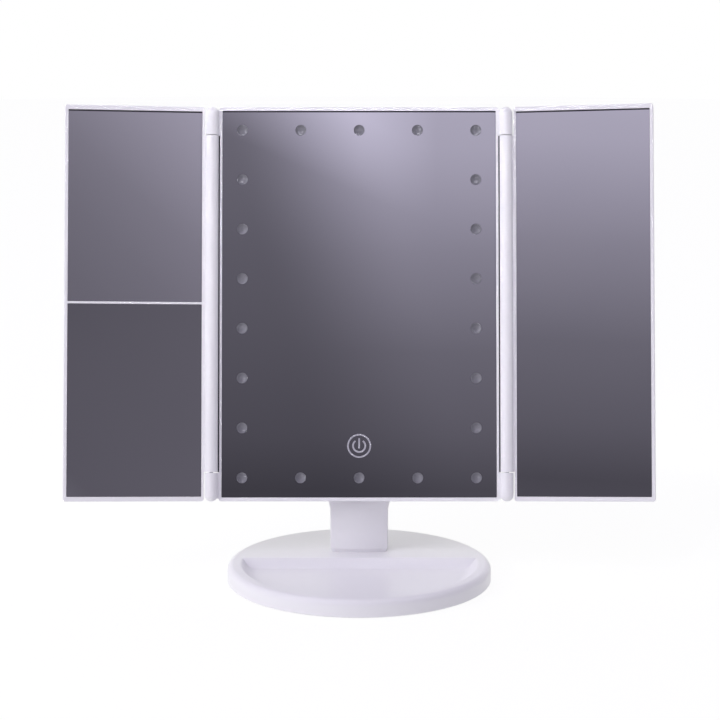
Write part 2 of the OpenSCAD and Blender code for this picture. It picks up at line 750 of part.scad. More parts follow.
module wing_frame(count, seat) {
    barrel_len = panel_h - 2 * knuckle_end;
    difference() {
        union() {
            difference() {
                translate([wing_mid, 0, 0]) slab(wing_w, panel_h, 0, wing_frame_depth, corner_r);
                wing_openings(count, -over, seat, 0);
                wing_openings(count, -over, wing_frame_depth + over, wing_ledge_w);
                wing_openings(1, seat + wing_ledge_t, wing_frame_depth + over, 0);
                translate([wing_mid, 0, 0]) face_edges(wing_w, panel_h, edge_r);
            }
            translate([0, -axis_front, knuckle_end]) cylinder(r = barrel_r, h = barrel_len);
            translate([0, 0, knuckle_end]) cube([wing_start + bite, web_depth, barrel_len]);
        }
        for (m = [0, 1]) translate([0, -axis_front, m * panel_h]) mirror([0, 0, m])
            translate([0, 0, knuckle_end - over])
                cylinder(d = pin_d + 2 * run_fit, h = pin_start + pin_len + 0.5 - knuckle_end + over);
    }
}

module wing_back() {
    translate([wing_mid, 0, 0]) difference() {
        slab(wing_w, panel_h, wing_frame_depth, wing_t, corner_r);
        back_edges(wing_w, panel_h, wing_t, back_edge_r);
        seam_groove(wing_w, panel_h, wing_frame_depth);
    }
    translate([wing_glass_mid, 0, 0]) difference() {
        slab(wing_glass_w - 0.4, wing_glass_h - 0.4, wing_frame_depth - lip_t, wing_frame_depth + bite, 0.4,
             wing_end_rim + 0.2);
        slab(wing_glass_w - 4, wing_glass_h - 4, 0, wing_frame_depth, 0.4, wing_end_rim + 2);
    }
}

// A magnifying mirror: flat back, and a front hollowed in rings to a radius of curvature
module magnifier(curve, z0) {
    w = wing_glass_w - 2 * glass_gap;
    h = magnifier_h - 2 * glass_gap;
    half = sqrt(w * w + h * h) / 2;
    sag = curve - sqrt(curve * curve - half * half);
    translate([wing_glass_mid, 0, z0 + glass_gap]) difference() {
        slab(w, h, glass_inset, magnifier_seat, 0.4);
        translate([0, glass_inset, h / 2]) rotate([-90, 0, 0]) rotate_extrude($fn = 96)
            polygon(concat([[0, -over], [half, -over]], [for (i = [0 : rings])
                let (r = half * (1 - i / rings), edge = max(r, half / rings))
                    [r, sag - curve + sqrt(curve * curve - edge * edge)]]));
    }
}

module left_wing_frame() color(white) at_wing(-1) wing_frame(2, magnifier_seat);
module left_wing_back() color(white) at_wing(-1) wing_back();
module lower_magnifying_mirror() color("#5d5b64") at_wing(-1) magnifier(lower_curve, wing_end_rim);
module upper_magnifying_mirror() color("#7d7b84") at_wing(-1)
    magnifier(upper_curve, wing_end_rim + magnifier_h + divider_w);

module right_wing_frame() color(white) at_wing(1) wing_frame(1, flat_seat);
module right_wing_back() color(white) at_wing(1) wing_back();
module right_mirror() color("#8f8c98") at_wing(1) translate([wing_glass_mid, 0, 0])
    slab(wing_glass_w - 2 * glass_gap, wing_glass_h - 2 * glass_gap, glass_inset, flat_seat, 0.4,
         wing_end_rim + glass_gap);

base_shell();
base_bottom_cover();
base_weight();
non_slip_pad();
base_screws();
neck();
neck_screws();
tilt_bushes();
friction_washers();
centre_frame();
centre_back_shell();
centre_mirror();
light_lenses();
light_frame();
light_board();
light_chips();
touch_sensor();
control_board();
usb_socket();
battery_contacts();
battery_cells();
battery_cover();
back_screws();
tilt_shaft();
tilt_nut();
wing_hinge_pins();
left_wing_frame();
left_wing_back();
upper_magnifying_mirror();
lower_magnifying_mirror();
right_wing_frame();
right_wing_back();
right_mirror();
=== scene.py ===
"""Looks for a trifold vanity mirror on a round tray stand.

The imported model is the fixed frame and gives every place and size, in metres: +Z is up from the
table, +X is to the right and the user is at -Y. Finishes are built from a few shared node groups, and
what repeats, such as lenses, screws and arrows, comes from geometry node trees.
"""

import json
import logging
import math
from collections.abc import Sequence
from dataclasses import dataclass
from enum import Enum

import bmesh
import bpy
from mathutils import Matrix, Vector


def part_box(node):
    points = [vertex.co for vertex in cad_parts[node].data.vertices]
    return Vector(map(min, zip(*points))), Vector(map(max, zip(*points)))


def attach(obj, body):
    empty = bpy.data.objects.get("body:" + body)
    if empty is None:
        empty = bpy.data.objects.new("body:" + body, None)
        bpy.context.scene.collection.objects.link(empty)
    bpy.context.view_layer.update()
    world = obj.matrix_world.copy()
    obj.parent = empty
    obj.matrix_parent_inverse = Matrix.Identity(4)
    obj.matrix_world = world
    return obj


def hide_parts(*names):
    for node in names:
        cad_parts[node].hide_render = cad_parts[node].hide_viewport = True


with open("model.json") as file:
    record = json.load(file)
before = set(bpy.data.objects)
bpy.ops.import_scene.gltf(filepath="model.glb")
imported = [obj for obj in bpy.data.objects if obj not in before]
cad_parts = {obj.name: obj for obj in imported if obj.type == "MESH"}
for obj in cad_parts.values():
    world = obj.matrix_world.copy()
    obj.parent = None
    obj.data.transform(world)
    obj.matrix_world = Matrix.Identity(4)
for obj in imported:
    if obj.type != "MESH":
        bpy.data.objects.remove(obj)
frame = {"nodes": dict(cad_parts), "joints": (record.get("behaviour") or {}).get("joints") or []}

LOG = logging.getLogger("vanity_mirror")
MM = 0.001
CREASE_DEG = 35
UPPER_CURVE = 2.0
LOWER_CURVE = 1.5
PANEL_FRAME_DEPTH = 8 * MM
Colour = tuple[float, float, float]
Profile = Sequence[tuple[float, float]]


class Body(Enum):
    """The moving bodies of the model."""

    BASE = "base"
    PANEL = "centre_panel"
    COVER = "battery_cover"
    LEFT_WING = "left_wing"
    RIGHT_WING = "right_wing"


class Slot(Enum):
    """The record's material slots, named for new pieces but not used by them."""

    WHITE = "white_gloss"
    GLASS = "silvered_glass"
    LENS = "frosted_lens"
    STEEL = "bright_steel"


# ---- places ----


@dataclass(frozen=True)
class Place:
    """A flat part's own axes: across to its right, back from its face and up along it."""

    origin: Vector
    across: Vector
    up: Vector

    def matrix(self) -> Matrix:
        """Returns the transform from the part's own coordinates to the model's."""
        back = self.up.cross(self.across)
        columns = Matrix((self.across, back, self.up)).transposed()
        return Matrix.Translation(self.origin) @ columns.to_4x4()

    def box(self, node: str) -> tuple[Vector, Vector]:
        """Measures a node along this place's axes.

        Args:
            node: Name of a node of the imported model.

        Returns:
            The node's lowest and highest corner in the part's own coordinates.
        """
        inverse = self.matrix().inverted()
        corners = [inverse @ vertex.co for vertex in frame["nodes"][node].data.vertices]
        low = Vector(min(corner[i] for corner in corners) for i in range(3))
        high = Vector(max(corner[i] for corner in corners) for i in range(3))
        return low, high


def joint(name: str) -> dict:
    """Returns the model's joint of that name."""
    return next(entry for entry in frame["joints"] if entry["name"] == name)


def panel_place() -> Place:
    """Finds the centre panel's axes from its wing hinges.

    Returns:
        The place with its origin in the middle of the panel's lower front edge.
    """
    left = Vector(joint("left_wing_hinge")["pos_m"])
    right = Vector(joint("right_wing_hinge")["pos_m"])
    up = Vector(joint("left_wing_hinge")["axis"]).normalized()
    hinges = Place((left + right) / 2, (right - left).normalized(), up)
    face, foot = hinges.box("centre_frame")[0].y, hinges.box("centre_back_shell")[0]
    front = max(face, foot.y - PANEL_FRAME_DEPTH)
    lower = hinges.box("centre_mirror")[0].z
    return Place(hinges.matrix() @ Vector((0, front, lower)), hinges.across, up)


def wing_place(side: int) -> Place:
    """Finds a wing's axes from the flat back of its shell.

    Args:
        side: -1 for the left wing and 1 for the right one.

    Returns:
        The place with its origin on the hinge axis, X away from the hinge.
    """
    name = "left" if side < 0 else "right"
    hinge = joint(f"{name}_wing_hinge")
    up = Vector(joint("left_wing_hinge")["axis"]).normalized()
    mesh = frame["nodes"][f"{name}_wing_back"].data
    widest = max(mesh.polygons, key=lambda face: face.area)
    back = widest.normal.copy()
    if back.y < 0:
        back.negate()
    across = back.cross(up).normalized()
    return Place(Vector(hinge["pos_m"]), across, up)


# ---- node trees ----


class Board:
    """A node tree under construction."""

    def __init__(self, tree: bpy.types.NodeTree) -> None:
        """Starts on an empty tree."""
        self.tree = tree
        self.tree.nodes.clear()

    def add(self, kind: str, inputs: dict | None = None, **settings: object) -> bpy.types.Node:
        """Adds a node, set and wired in one go.

        Args:
            kind: The node's type.
            inputs: Socket names or numbers, each with a value or with the socket that feeds it.
            settings: The node's own properties.

        Returns:
            The new node.
        """
        node = self.tree.nodes.new(kind)
        for name, value in settings.items():
            setattr(node, name, value)
        for name, value in (inputs or {}).items():
            if isinstance(value, bpy.types.NodeSocket):
                self.tree.links.new(value, node.inputs[name])
            else:
                node.inputs[name].default_value = value
        node.location = (180 * len(self.tree.nodes), 0)
        return node

    def maths(self, operation: str, *values: object) -> bpy.types.NodeSocket:
        """Adds a Math node and returns its result, for values that are numbers or sockets."""
        return self.add("ShaderNodeMath", dict(enumerate(values)), operation=operation).outputs[0]

    def range(self, value: bpy.types.NodeSocket, source: Profile,
              smooth: bool = False) -> bpy.types.NodeSocket:
        """Maps a value from one range to another.

        Args:
            value: The socket to map.
            source: Two pairs: where the range starts and what comes out there, and the same for its end.
            smooth: Whether the ends of the range are eased.

        Returns:
            The mapped socket, held between the two results.
        """
        (low, low_out), (high, high_out) = source
        kind = "SMOOTHSTEP" if smooth else "LINEAR"
        sockets = {
            "Value": value, "From Min": low, "From Max": high, "To Min": low_out, "To Max": high_out}
        return self.add("ShaderNodeMapRange", sockets, interpolation_type=kind).outputs["Result"]

    def ramp(self, value: bpy.types.NodeSocket, stops: Profile) -> bpy.types.NodeSocket:
        """Shapes a value from 0 to 1 by a few stops.

        Args:
            value: The value.
            stops: Position and brightness of each stop.

        Returns:
            The shaped value.
        """
        node = self.add("ShaderNodeValToRGB", {"Fac": value})
        node.color_ramp.interpolation = "LINEAR"
        elements = node.color_ramp.elements
        while len(elements) < len(stops):
            elements.new(0.5)
        for element, (position, level) in zip(elements, stops):
            element.position = position
            element.color = (level, level, level, 1)
        return node.outputs[0]

    def seen(self) -> bpy.types.NodeSocket:
        """Adds a mask that is 1 for what the camera sees, directly, mirrored or through glass."""
        rays = self.add("ShaderNodeLightPath").outputs
        straight = self.maths("ADD", rays["Is Camera Ray"], rays["Is Glossy Ray"])
        return self.maths("MINIMUM", self.maths("ADD", straight, rays["Is Transmission Ray"]), 1.0)

    def blend(self, share: object, first: object, second: object) -> bpy.types.NodeSocket:
        """Mixes two colours by a share and returns the mixed colour."""
        node = self.add("ShaderNodeMix", {0: share}, data_type="RGBA")
        for socket, value in ((node.inputs[6], first), (node.inputs[7], second)):
            if isinstance(value, bpy.types.NodeSocket):
                self.tree.links.new(value, socket)
            else:
                socket.default_value = (*value[:3], 1)
        return node.outputs[2]


def new_group(name: str, inputs: Sequence[tuple[str, str]], outputs: Sequence[tuple[str, str]]) -> Board:
    """Starts a shader node group.

    Args:
        name: The group's name.
        inputs: Name and socket type of each input.
        outputs: Name and socket type of each output.

    Returns:
        The board of the new group's tree.
    """
    tree = bpy.data.node_groups.new(name, "ShaderNodeTree")
    for way, sockets in (("INPUT", inputs), ("OUTPUT", outputs)):
        for label, kind in sockets:
            tree.interface.new_socket(label, in_out=way, socket_type=kind)
    return Board(tree)


NUMBER = "NodeSocketFloat"
COLOUR = "NodeSocketColor"


def moulded_skin() -> bpy.types.NodeTree:
    """Builds the group for moulded plastic: slow clouds of tone and gloss over a very fine grain.

    Returns:
        The group, with the outputs Color, Roughness and Height.
    """
    board = new_group(
        "moulded_skin",
        [("Tone", COLOUR), ("Deep Tone", COLOUR), ("Cloud Size", NUMBER), ("Grain Size", NUMBER),
         ("Low Roughness", NUMBER), ("High Roughness", NUMBER)],
        [("Color", COLOUR), ("Roughness", NUMBER), ("Height", NUMBER)],
    )
    given = board.add("NodeGroupInput")
    place = board.add("ShaderNodeTexCoord").outputs["Object"]
    clouds = board.add("ShaderNodeTexNoise", {
        "Vector": place, "Scale": board.maths("DIVIDE", 1.0, given.outputs["Cloud Size"]), "Detail": 1.0})
    grain = board.add("ShaderNodeTexNoise", {
        "Vector": place, "Scale": board.maths("DIVIDE", 1.0, given.outputs["Grain Size"]), "Detail": 2.0})
    share = board.range(clouds.outputs[0], ((0.2, 0.0), (0.8, 1.0)))
    colour = board.blend(share, given.outputs["Tone"], given.outputs["Deep Tone"])
    rough = board.add("ShaderNodeMapRange", {
        "Value": share, "To Min": given.outputs["Low Roughness"],
        "To Max": given.outputs["High Roughness"]})
    board.add("NodeGroupOutput", {
        "Color": colour, "Roughness": rough.outputs["Result"], "Height": grain.outputs[0]})
    return board.tree


def drawn_grain() -> bpy.types.NodeTree:
    """Builds the group for drawn or rolled metal: fine lines along one axis.

    Returns:
        The group, with the outputs Color, Roughness and Height.
    """
    board = new_group(
        "drawn_grain",
        [("Tone", COLOUR), ("Line Tone", COLOUR), ("Line Size", NUMBER), ("Stretch", "NodeSocketVector"),
         ("Low Roughness", NUMBER), ("High Roughness", NUMBER)],
        [("Color", COLOUR), ("Roughness", NUMBER), ("Height", NUMBER)],
    )
    given = board.add("NodeGroupInput")
    place = board.add("ShaderNodeTexCoord").outputs["Object"]
    stretched = {"Vector": place, "Scale": given.outputs["Stretch"]}
    drawn = board.add("ShaderNodeMapping", stretched, vector_type="POINT")
    lines = board.add("ShaderNodeTexNoise", {
        "Vector": drawn.outputs[0], "Scale": board.maths("DIVIDE", 1.0, given.outputs["Line Size"]),
        "Detail": 4.0})
    share = board.range(lines.outputs[0], ((0.3, 0.0), (0.7, 1.0)))
    rough = board.add("ShaderNodeMapRange", {
        "Value": share, "To Min": given.outputs["Low Roughness"],
        "To Max": given.outputs["High Roughness"]})
    board.add("NodeGroupOutput", {
        "Color": board.blend(share, given.outputs["Tone"], given.outputs["Line Tone"]),
        "Roughness": rough.outputs["Result"], "Height": lines.outputs[0]})
    return board.tree


# ---- finishes ----


def rgba(colour: Colour) -> tuple[float, float, float, float]:
    """Returns a colour with full alpha."""
    return (*colour, 1.0)


class SurfaceBoard(Board):
    """The node tree of a new material."""

    def __init__(self, name: str) -> None:
        """Starts a material of that name."""
        self.material = bpy.data.materials.new(name)
        self.material.use_nodes = True
        super().__init__(self.material.node_tree)

    def close(self, surface: bpy.types.NodeSocket) -> bpy.types.Material:
        """Wires a surface to the output and returns the finished material."""
        self.add("ShaderNodeOutputMaterial", {"Surface": surface})
        return self.material


@dataclass(frozen=True)
class Clouded:
    """A finish with slow clouds of tone and gloss and a fine grain."""

    name: str
    tone: Colour
    deep_tone: Colour
    roughness: tuple[float, float]
    cloud_size: float = 40 * MM
    grain_size: float = 0.5 * MM

    def skin(self, board: Board, group: bpy.types.NodeTree) -> bpy.types.Node:
        """Places the moulded_skin group with this finish's values on a board and returns its node."""
        return board.add("ShaderNodeGroup", {
            "Tone": rgba(self.tone), "Deep Tone": rgba(self.deep_tone), "Cloud Size": self.cloud_size,
            "Grain Size": self.grain_size, "Low Roughness": self.roughness[0],
            "High Roughness": self.roughness[1]}, node_tree=group)


@dataclass(frozen=True)
class Moulding(Clouded):
    """Moulded plastic, or the print and the chips, which look alike, and the dark strips of painted shade.
    """

    grain_height: float = 0.002 * MM
    specular: float = 0.5

    def material(self, group: bpy.types.NodeTree) -> bpy.types.Material:
        """Builds the material.

        Args:
            group: The moulded_skin group.

        Returns:
            The material.
        """
        board = SurfaceBoard(self.name)
        skin = self.skin(board, group)
        bump = board.add("ShaderNodeBump", {
            "Strength": 0.6, "Distance": self.grain_height, "Height": skin.outputs["Height"]})
        shader = board.add("ShaderNodeBsdfPrincipled", {
            "Base Color": skin.outputs["Color"], "Roughness": skin.outputs["Roughness"],
            "Normal": bump.outputs[0], "Specular IOR Level": self.specular})
        return board.close(shader.outputs[0])


@dataclass(frozen=True)
class DrawnMetal:
    """Bare or plated metal with drawing lines."""

    name: str
    tone: Colour
    line_tone: Colour
    roughness: tuple[float, float]
    line_size: float = 0.25 * MM
    stretch: tuple[float, float, float] = (0.06, 1.0, 1.0)
    line_depth: float = 0.003 * MM

    def material(self, group: bpy.types.NodeTree) -> bpy.types.Material:
        """Builds the material.

        Args:
            group: The drawn_grain group.

        Returns:
            The material.
        """
        board = SurfaceBoard(self.name)
        grain = board.add("ShaderNodeGroup", {
            "Tone": rgba(self.tone), "Line Tone": rgba(self.line_tone), "Line Size": self.line_size,
            "Stretch": self.stretch, "Low Roughness": self.roughness[0],
            "High Roughness": self.roughness[1],
        }, node_tree=group)
        bump = board.add("ShaderNodeBump", {
            "Strength": 0.4, "Distance": self.line_depth, "Height": grain.outputs["Height"]})
        shader = board.add("ShaderNodeBsdfPrincipled", {
            "Base Color": grain.outputs["Color"], "Roughness": grain.outputs["Roughness"],
            "Metallic": 1.0, "Normal": bump.outputs[0]})
        return board.close(shader.outputs[0])


@dataclass(frozen=True)
class SilveredGlass(Clouded):
    """A mirror: a silver coat behind clear glass, with the faintest smears."""

    tone: Colour = (0.86, 0.85, 0.88)
    deep_tone: Colour = (0.83, 0.825, 0.86)
    roughness: tuple[float, float] = (0.006, 0.016)
    cloud_size: float = 60 * MM
    grain_size: float = 1 * MM

    def material(self, group: bpy.types.NodeTree) -> bpy.types.Material:
        """Builds the material.

        Args:
            group: The moulded_skin group, for the smears.

        Returns:
            The material.
        """
        board = SurfaceBoard(self.name)
        smears = self.skin(board, group)
        shader = board.add("ShaderNodeBsdfPrincipled", {
            "Base Color": smears.outputs["Color"], "Roughness": smears.outputs["Roughness"],
            "Metallic": 1.0})
        return board.close(shader.outputs[0])


@dataclass(frozen=True)
class RingedRubber(Clouded):
    """Foam rubber with pressed rings round the Z axis."""

    tone: Colour = (0.030, 0.030, 0.033)
    deep_tone: Colour = (0.018, 0.018, 0.020)
    roughness: tuple[float, float] = (0.75, 0.95)
    cloud_size: float = 6 * MM
    ring_pitch: float = 2.5 * MM
    ring_depth: float = 0.15 * MM

    def material(self, group: bpy.types.NodeTree) -> bpy.types.Material:
        """Builds the material.

        Args:
            group: The moulded_skin group, for the foam.

        Returns:
            The material.
        """
        board = SurfaceBoard(self.name)
        foam = self.skin(board, group)
        place = board.add("ShaderNodeTexCoord").outputs["Object"]
        rings = board.add("ShaderNodeTexWave", {"Vector": place, "Scale": 1 / (self.ring_pitch * 20)},
                          wave_type="RINGS", rings_direction="Z")
        height = board.maths("ADD", rings.outputs["Fac"], foam.outputs["Height"])
        bump = board.add("ShaderNodeBump", {
            "Strength": 0.8, "Distance": self.ring_depth, "Height": height})
        shader = board.add("ShaderNodeBsdfPrincipled", {
            "Base Color": foam.outputs["Color"], "Roughness": foam.outputs["Roughness"],
            "Normal": bump.outputs[0]})
        return board.close(shader.outputs[0])


@dataclass(frozen=True)
class CircuitLacquer(Clouded):
    """A lacquered circuit board with rows of tracks."""

    tone: Colour = (0.012, 0.085, 0.040)
    deep_tone: Colour = (0.012, 0.085, 0.040)
    roughness: tuple[float, float] = (0.22, 0.40)
    cloud_size: float = 8 * MM
    grain_size: float = 0.4 * MM
    track: Colour = (0.030, 0.160, 0.075)
    pitch: float = 1.6 * MM
    track_height: float = 0.03 * MM

    def material(self, group: bpy.types.NodeTree) -> bpy.types.Material:
        """Builds the material.

        Args:
            group: The moulded_skin group, for the lacquer's gloss.

        Returns:
            The material.
        """
        board = SurfaceBoard(self.name)
        skin = self.skin(board, group)
        place = board.add("ShaderNodeTexCoord").outputs["Object"]
        tracks = board.add("ShaderNodeTexBrick", {
            "Vector": place, "Color1": rgba(self.tone), "Color2": rgba(self.tone),
            "Mortar": rgba(self.track), "Scale": 1 / self.pitch / 4, "Mortar Size": 0.03,
            "Mortar Smooth": 0.3})
        bump = board.add("ShaderNodeBump", {
            "Strength": 0.5, "Distance": self.track_height, "Height": tracks.outputs["Fac"]})
        shader = board.add("ShaderNodeBsdfPrincipled", {
            "Base Color": tracks.outputs["Color"], "Roughness": skin.outputs["Roughness"],
            "Normal": bump.outputs[0], "Coat Weight": 0.3})
        return board.close(shader.outputs[0])


class Finish(Enum):
    """The finishes of the whole object; each value builds its material once."""

    WHITE_GLOSS = Moulding(
        "white_gloss_moulding", (0.885, 0.875, 0.895), (0.873, 0.863, 0.885), (0.28, 0.34))
    WHITE_INNER = Moulding(
        "white_inner_moulding", (0.80, 0.79, 0.82), (0.76, 0.75, 0.78), (0.45, 0.60),
        grain_height=0.01 * MM)
    SILVER = SilveredGlass("silver_behind_glass")
    DISH_SILVER = SilveredGlass("silver_behind_dish", (0.77, 0.76, 0.785), (0.75, 0.74, 0.765))
    # Painted shade: a dark colour for the strips that stand in for the shade above the mirrors and beside
    # the hinge barrels.
    PAINTED_SHADE = Moulding("painted_gap_shade", (0.055, 0.05, 0.06), (0.04, 0.036, 0.045), (0.7, 0.9), specular=0.1)
    LENS = Moulding(
        "frosted_lens_plastic", (0.250, 0.247, 0.275), (0.225, 0.222, 0.248), (0.50, 0.66),
        cloud_size=2.2 * MM, grain_size=0.12 * MM, grain_height=0.01 * MM, specular=0.25)
    PRINT = Moulding(
        "touch_mark_print", (0.445, 0.435, 0.485), (0.415, 0.405, 0.455), (0.40, 0.55),
        cloud_size=5 * MM)
    STEEL = DrawnMetal("zinc_plated_steel", (0.62, 0.62, 0.64), (0.50, 0.50, 0.53), (0.22, 0.38))
    WEIGHT = DrawnMetal(
        "lacquered_weight_steel", (0.16, 0.165, 0.175), (0.11, 0.112, 0.12), (0.40, 0.55),
        line_size=0.6 * MM)
    RUBBER = RingedRubber("ringed_foam_rubber")
    BOARD = CircuitLacquer("green_board_lacquer")
    CHIP = Moulding(
        "phosphor_chip", (0.78, 0.62, 0.16), (0.70, 0.54, 0.12), (0.35, 0.5), cloud_size=1.5 * MM)
    ACETAL = Moulding("natural_acetal", (0.74, 0.71, 0.60), (0.69, 0.66, 0.55), (0.30, 0.42))
    JACKET = DrawnMetal(
        "printed_cell_jacket", (0.11, 0.17, 0.27), (0.08, 0.13, 0.22), (0.25, 0.35), line_size=0.5 * MM,
        stretch=(1.0, 1.0, 0.05))


class Workshop:
    """Holds the shared groups and the materials made from them."""

    def __init__(self) -> None:
        """Builds the two shared groups and every finish."""
        moulded, drawn = moulded_skin(), drawn_grain()
        self.materials = {
            finish: finish.value.material(drawn if isinstance(finish.value, DrawnMetal) else moulded)
            for finish in Finish
        }

    def dress(self, finish: Finish, *nodes: str) -> None:
        """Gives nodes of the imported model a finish.

        Args:
            finish: The finish.
            nodes: Names of the nodes.
        """
        for name in nodes:
            for holder in frame["nodes"][name].material_slots:
                holder.material = self.materials[finish]
        LOG.info("%s on %s", finish.name, ", ".join(nodes))

    def piece(self, name: str, mesh: bpy.types.Mesh, body: Body, slot: Slot, finish: Finish,
              replaces: Sequence[str] = ()) -> bpy.types.Object:
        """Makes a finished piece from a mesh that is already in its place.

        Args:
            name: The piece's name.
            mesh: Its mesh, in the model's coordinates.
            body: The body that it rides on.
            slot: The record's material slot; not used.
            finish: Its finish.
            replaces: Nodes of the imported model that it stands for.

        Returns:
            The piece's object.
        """
        mesh.name = name
        mesh.materials.clear()
        mesh.materials.append(self.materials[finish])
        piece = placed(name, mesh)
        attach(piece, body.value)
        if replaces:
            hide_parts(*replaces)
        LOG.info("piece %s: %d faces on %s", name, len(mesh.polygons), body.value)
        return piece


# ---- objects and meshes ----


def placed(name: str, data: bpy.types.ID) -> bpy.types.Object:
    """Adds an object with that data to the scene and returns it."""
    thing = bpy.data.objects.new(name, data)
    bpy.context.scene.collection.objects.link(thing)
    return thing


def taken(holder: bpy.types.Object, name: str) -> bpy.types.Mesh:
    """Keeps what an object's modifiers make as a plain mesh and removes the object.

    Args:
        holder: The object.
        name: The new mesh's name.

    Returns:
        The mesh.
    """
    graph = bpy.context.evaluated_depsgraph_get()
    mesh = bpy.data.meshes.new_from_object(holder.evaluated_get(graph))
    holder.modifiers.clear()
    bpy.data.objects.remove(holder)
    mesh.name = name
    return mesh


def mesh_from(work: bmesh.types.BMesh, name: str) -> bpy.types.Mesh:
    """Closes a working mesh: merges doubles, turns faces outwards and hands it over.

    Args:
        work: The working mesh, which is freed.
        name: The new mesh's name.

    Returns:
        The finished mesh.
    """
    bmesh.ops.remove_doubles(work, verts=work.verts, dist=1e-7)
    bmesh.ops.recalc_face_normals(work, faces=work.faces)
    mesh = bpy.data.meshes.new(name)
    work.to_mesh(mesh)
    work.free()
    return mesh


def turned(name: str, outline: Profile, steps: int, crease_deg: float = CREASE_DEG) -> bpy.types.Mesh:
    """Turns an outline round the Y axis into a closed solid.

    Args:
        name: The mesh's name.
        outline: Radius and depth of each point, from the axis at the front to the axis at the back.
        steps: Number of steps round the axis.
        crease_deg: Angle above which an edge stays sharp.

    Returns:
        The mesh, round the Y axis.
    """
    work = bmesh.new()
    rings = []
    for radius, depth in outline:
        angles = [0.0] if radius == 0 else [2 * math.pi * i / steps for i in range(steps)]
        rings.append([
            work.verts.new((radius * math.cos(a), depth, radius * math.sin(a))) for a in angles])
    for first, second in zip(rings, rings[1:]):
        for i in range(steps):
            corners = [first[i % len(first)], first[(i + 1) % len(first)],
                       second[(i + 1) % len(second)], second[i % len(second)]]
            work.faces.new(dict.fromkeys(corners))
    mesh = mesh_from(work, name)
    smooth(mesh, crease_deg)
    return mesh


def smooth(mesh: bpy.types.Mesh, crease_deg: float) -> None:
    """Shades a mesh smooth up to a crease angle."""
    mesh.shade_smooth()
    mesh.set_sharp_from_angle(angle=math.radians(crease_deg))


def slab_of(name: str, outline: Profile, front: float, back: float) -> bpy.types.Mesh:
    """Gives a flat outline a thickness.

    Args:
        name: The mesh's name.
        outline: X and Z of each point, in order round the outline.
        front: Depth of its front face.
        back: Depth of its back face.

    Returns:
        The closed mesh.
    """
    work = bmesh.new()
    faces = [[work.verts.new((x, depth, z)) for x, z in outline] for depth in (front, back)]
    work.faces.new(faces[0])
    work.faces.new(reversed(faces[1]))
    for i in range(len(outline)):
        j = (i + 1) % len(outline)
        work.faces.new((faces[0][i], faces[1][i], faces[1][j], faces[0][j]))
    return mesh_from(work, name)


def arc(radius: float, start: float, end: float, steps: int) -> list[tuple[float, float]]:
    """Returns points on an arc round the origin, from one angle to another in degrees."""
    angles = [math.radians(start + (end - start) * i / steps) for i in range(steps + 1)]
    return [(radius * math.cos(a), radius * math.sin(a)) for a in angles]


def joined(name: str, meshes: Sequence[bpy.types.Mesh]) -> bpy.types.Mesh:
    """Puts several meshes into one and removes them."""
    work = bmesh.new()
    for mesh in meshes:
        work.from_mesh(mesh)
        bpy.data.meshes.remove(mesh)
    whole = bpy.data.meshes.new(name)
    work.to_mesh(whole)
    work.free()
    return whole


# ---- geometry node trees ----


def new_geometry_tree(name: str, inputs: Sequence[tuple[str, str]]) -> Board:
    """Starts a geometry node tree.

    Args:
        name: The tree's name.
        inputs: Name and socket type of each input after the geometry.

    Returns:
        The board of the new tree.
    """
    tree = bpy.data.node_groups.new(name, "GeometryNodeTree")
    tree.interface.new_socket("Geometry", in_out="INPUT", socket_type="NodeSocketGeometry")
    for label, kind in inputs:
        tree.interface.new_socket(label, in_out="INPUT", socket_type=kind)
    tree.interface.new_socket("Geometry", in_out="OUTPUT", socket_type="NodeSocketGeometry")
    return Board(tree)


def grown(name: str, tree: bpy.types.NodeTree, seed: bpy.types.Mesh,
          values: dict[str, object]) -> bpy.types.Mesh:
    """Runs a geometry node tree once and keeps its result as a plain mesh.

    Args:
        name: The new mesh's name.
        tree: The tree.
        seed: The mesh that goes into it.
        values: A value for each named input.

    Returns:
        The resulting mesh.
    """
    holder = placed(name + "_seed", seed)
    modifier = holder.modifiers.new("grow", "NODES")
    modifier.node_group = tree
    sockets = {item.name: item.identifier for item in tree.interface.items_tree
               if item.item_type == "SOCKET" and item.in_out == "INPUT"}
    for label, value in values.items():
        modifier[sockets[label]] = value
    return taken(holder, name)


def repeat_tree() -> bpy.types.NodeTree:
    """Builds the tree that sets a part on every point.

    Returns:
        The tree, with the inputs Part and Material.
    """
    board = new_geometry_tree("set_part_on_points", [
        ("Part", "NodeSocketObject"), ("Material", "NodeSocketMaterial")])
    given = board.add("NodeGroupInput")
    part = board.add("GeometryNodeObjectInfo", {"Object": given.outputs["Part"]})
    copies = board.add("GeometryNodeInstanceOnPoints", {
        "Points": given.outputs["Geometry"], "Instance": part.outputs["Geometry"]})
    real = board.add("GeometryNodeRealizeInstances", {"Geometry": copies.outputs[0]})
    dressed = board.add("GeometryNodeSetMaterial", {
        "Geometry": real.outputs[0], "Material": given.outputs["Material"]})
    board.add("NodeGroupOutput", {"Geometry": dressed.outputs[0]})
    return board.tree


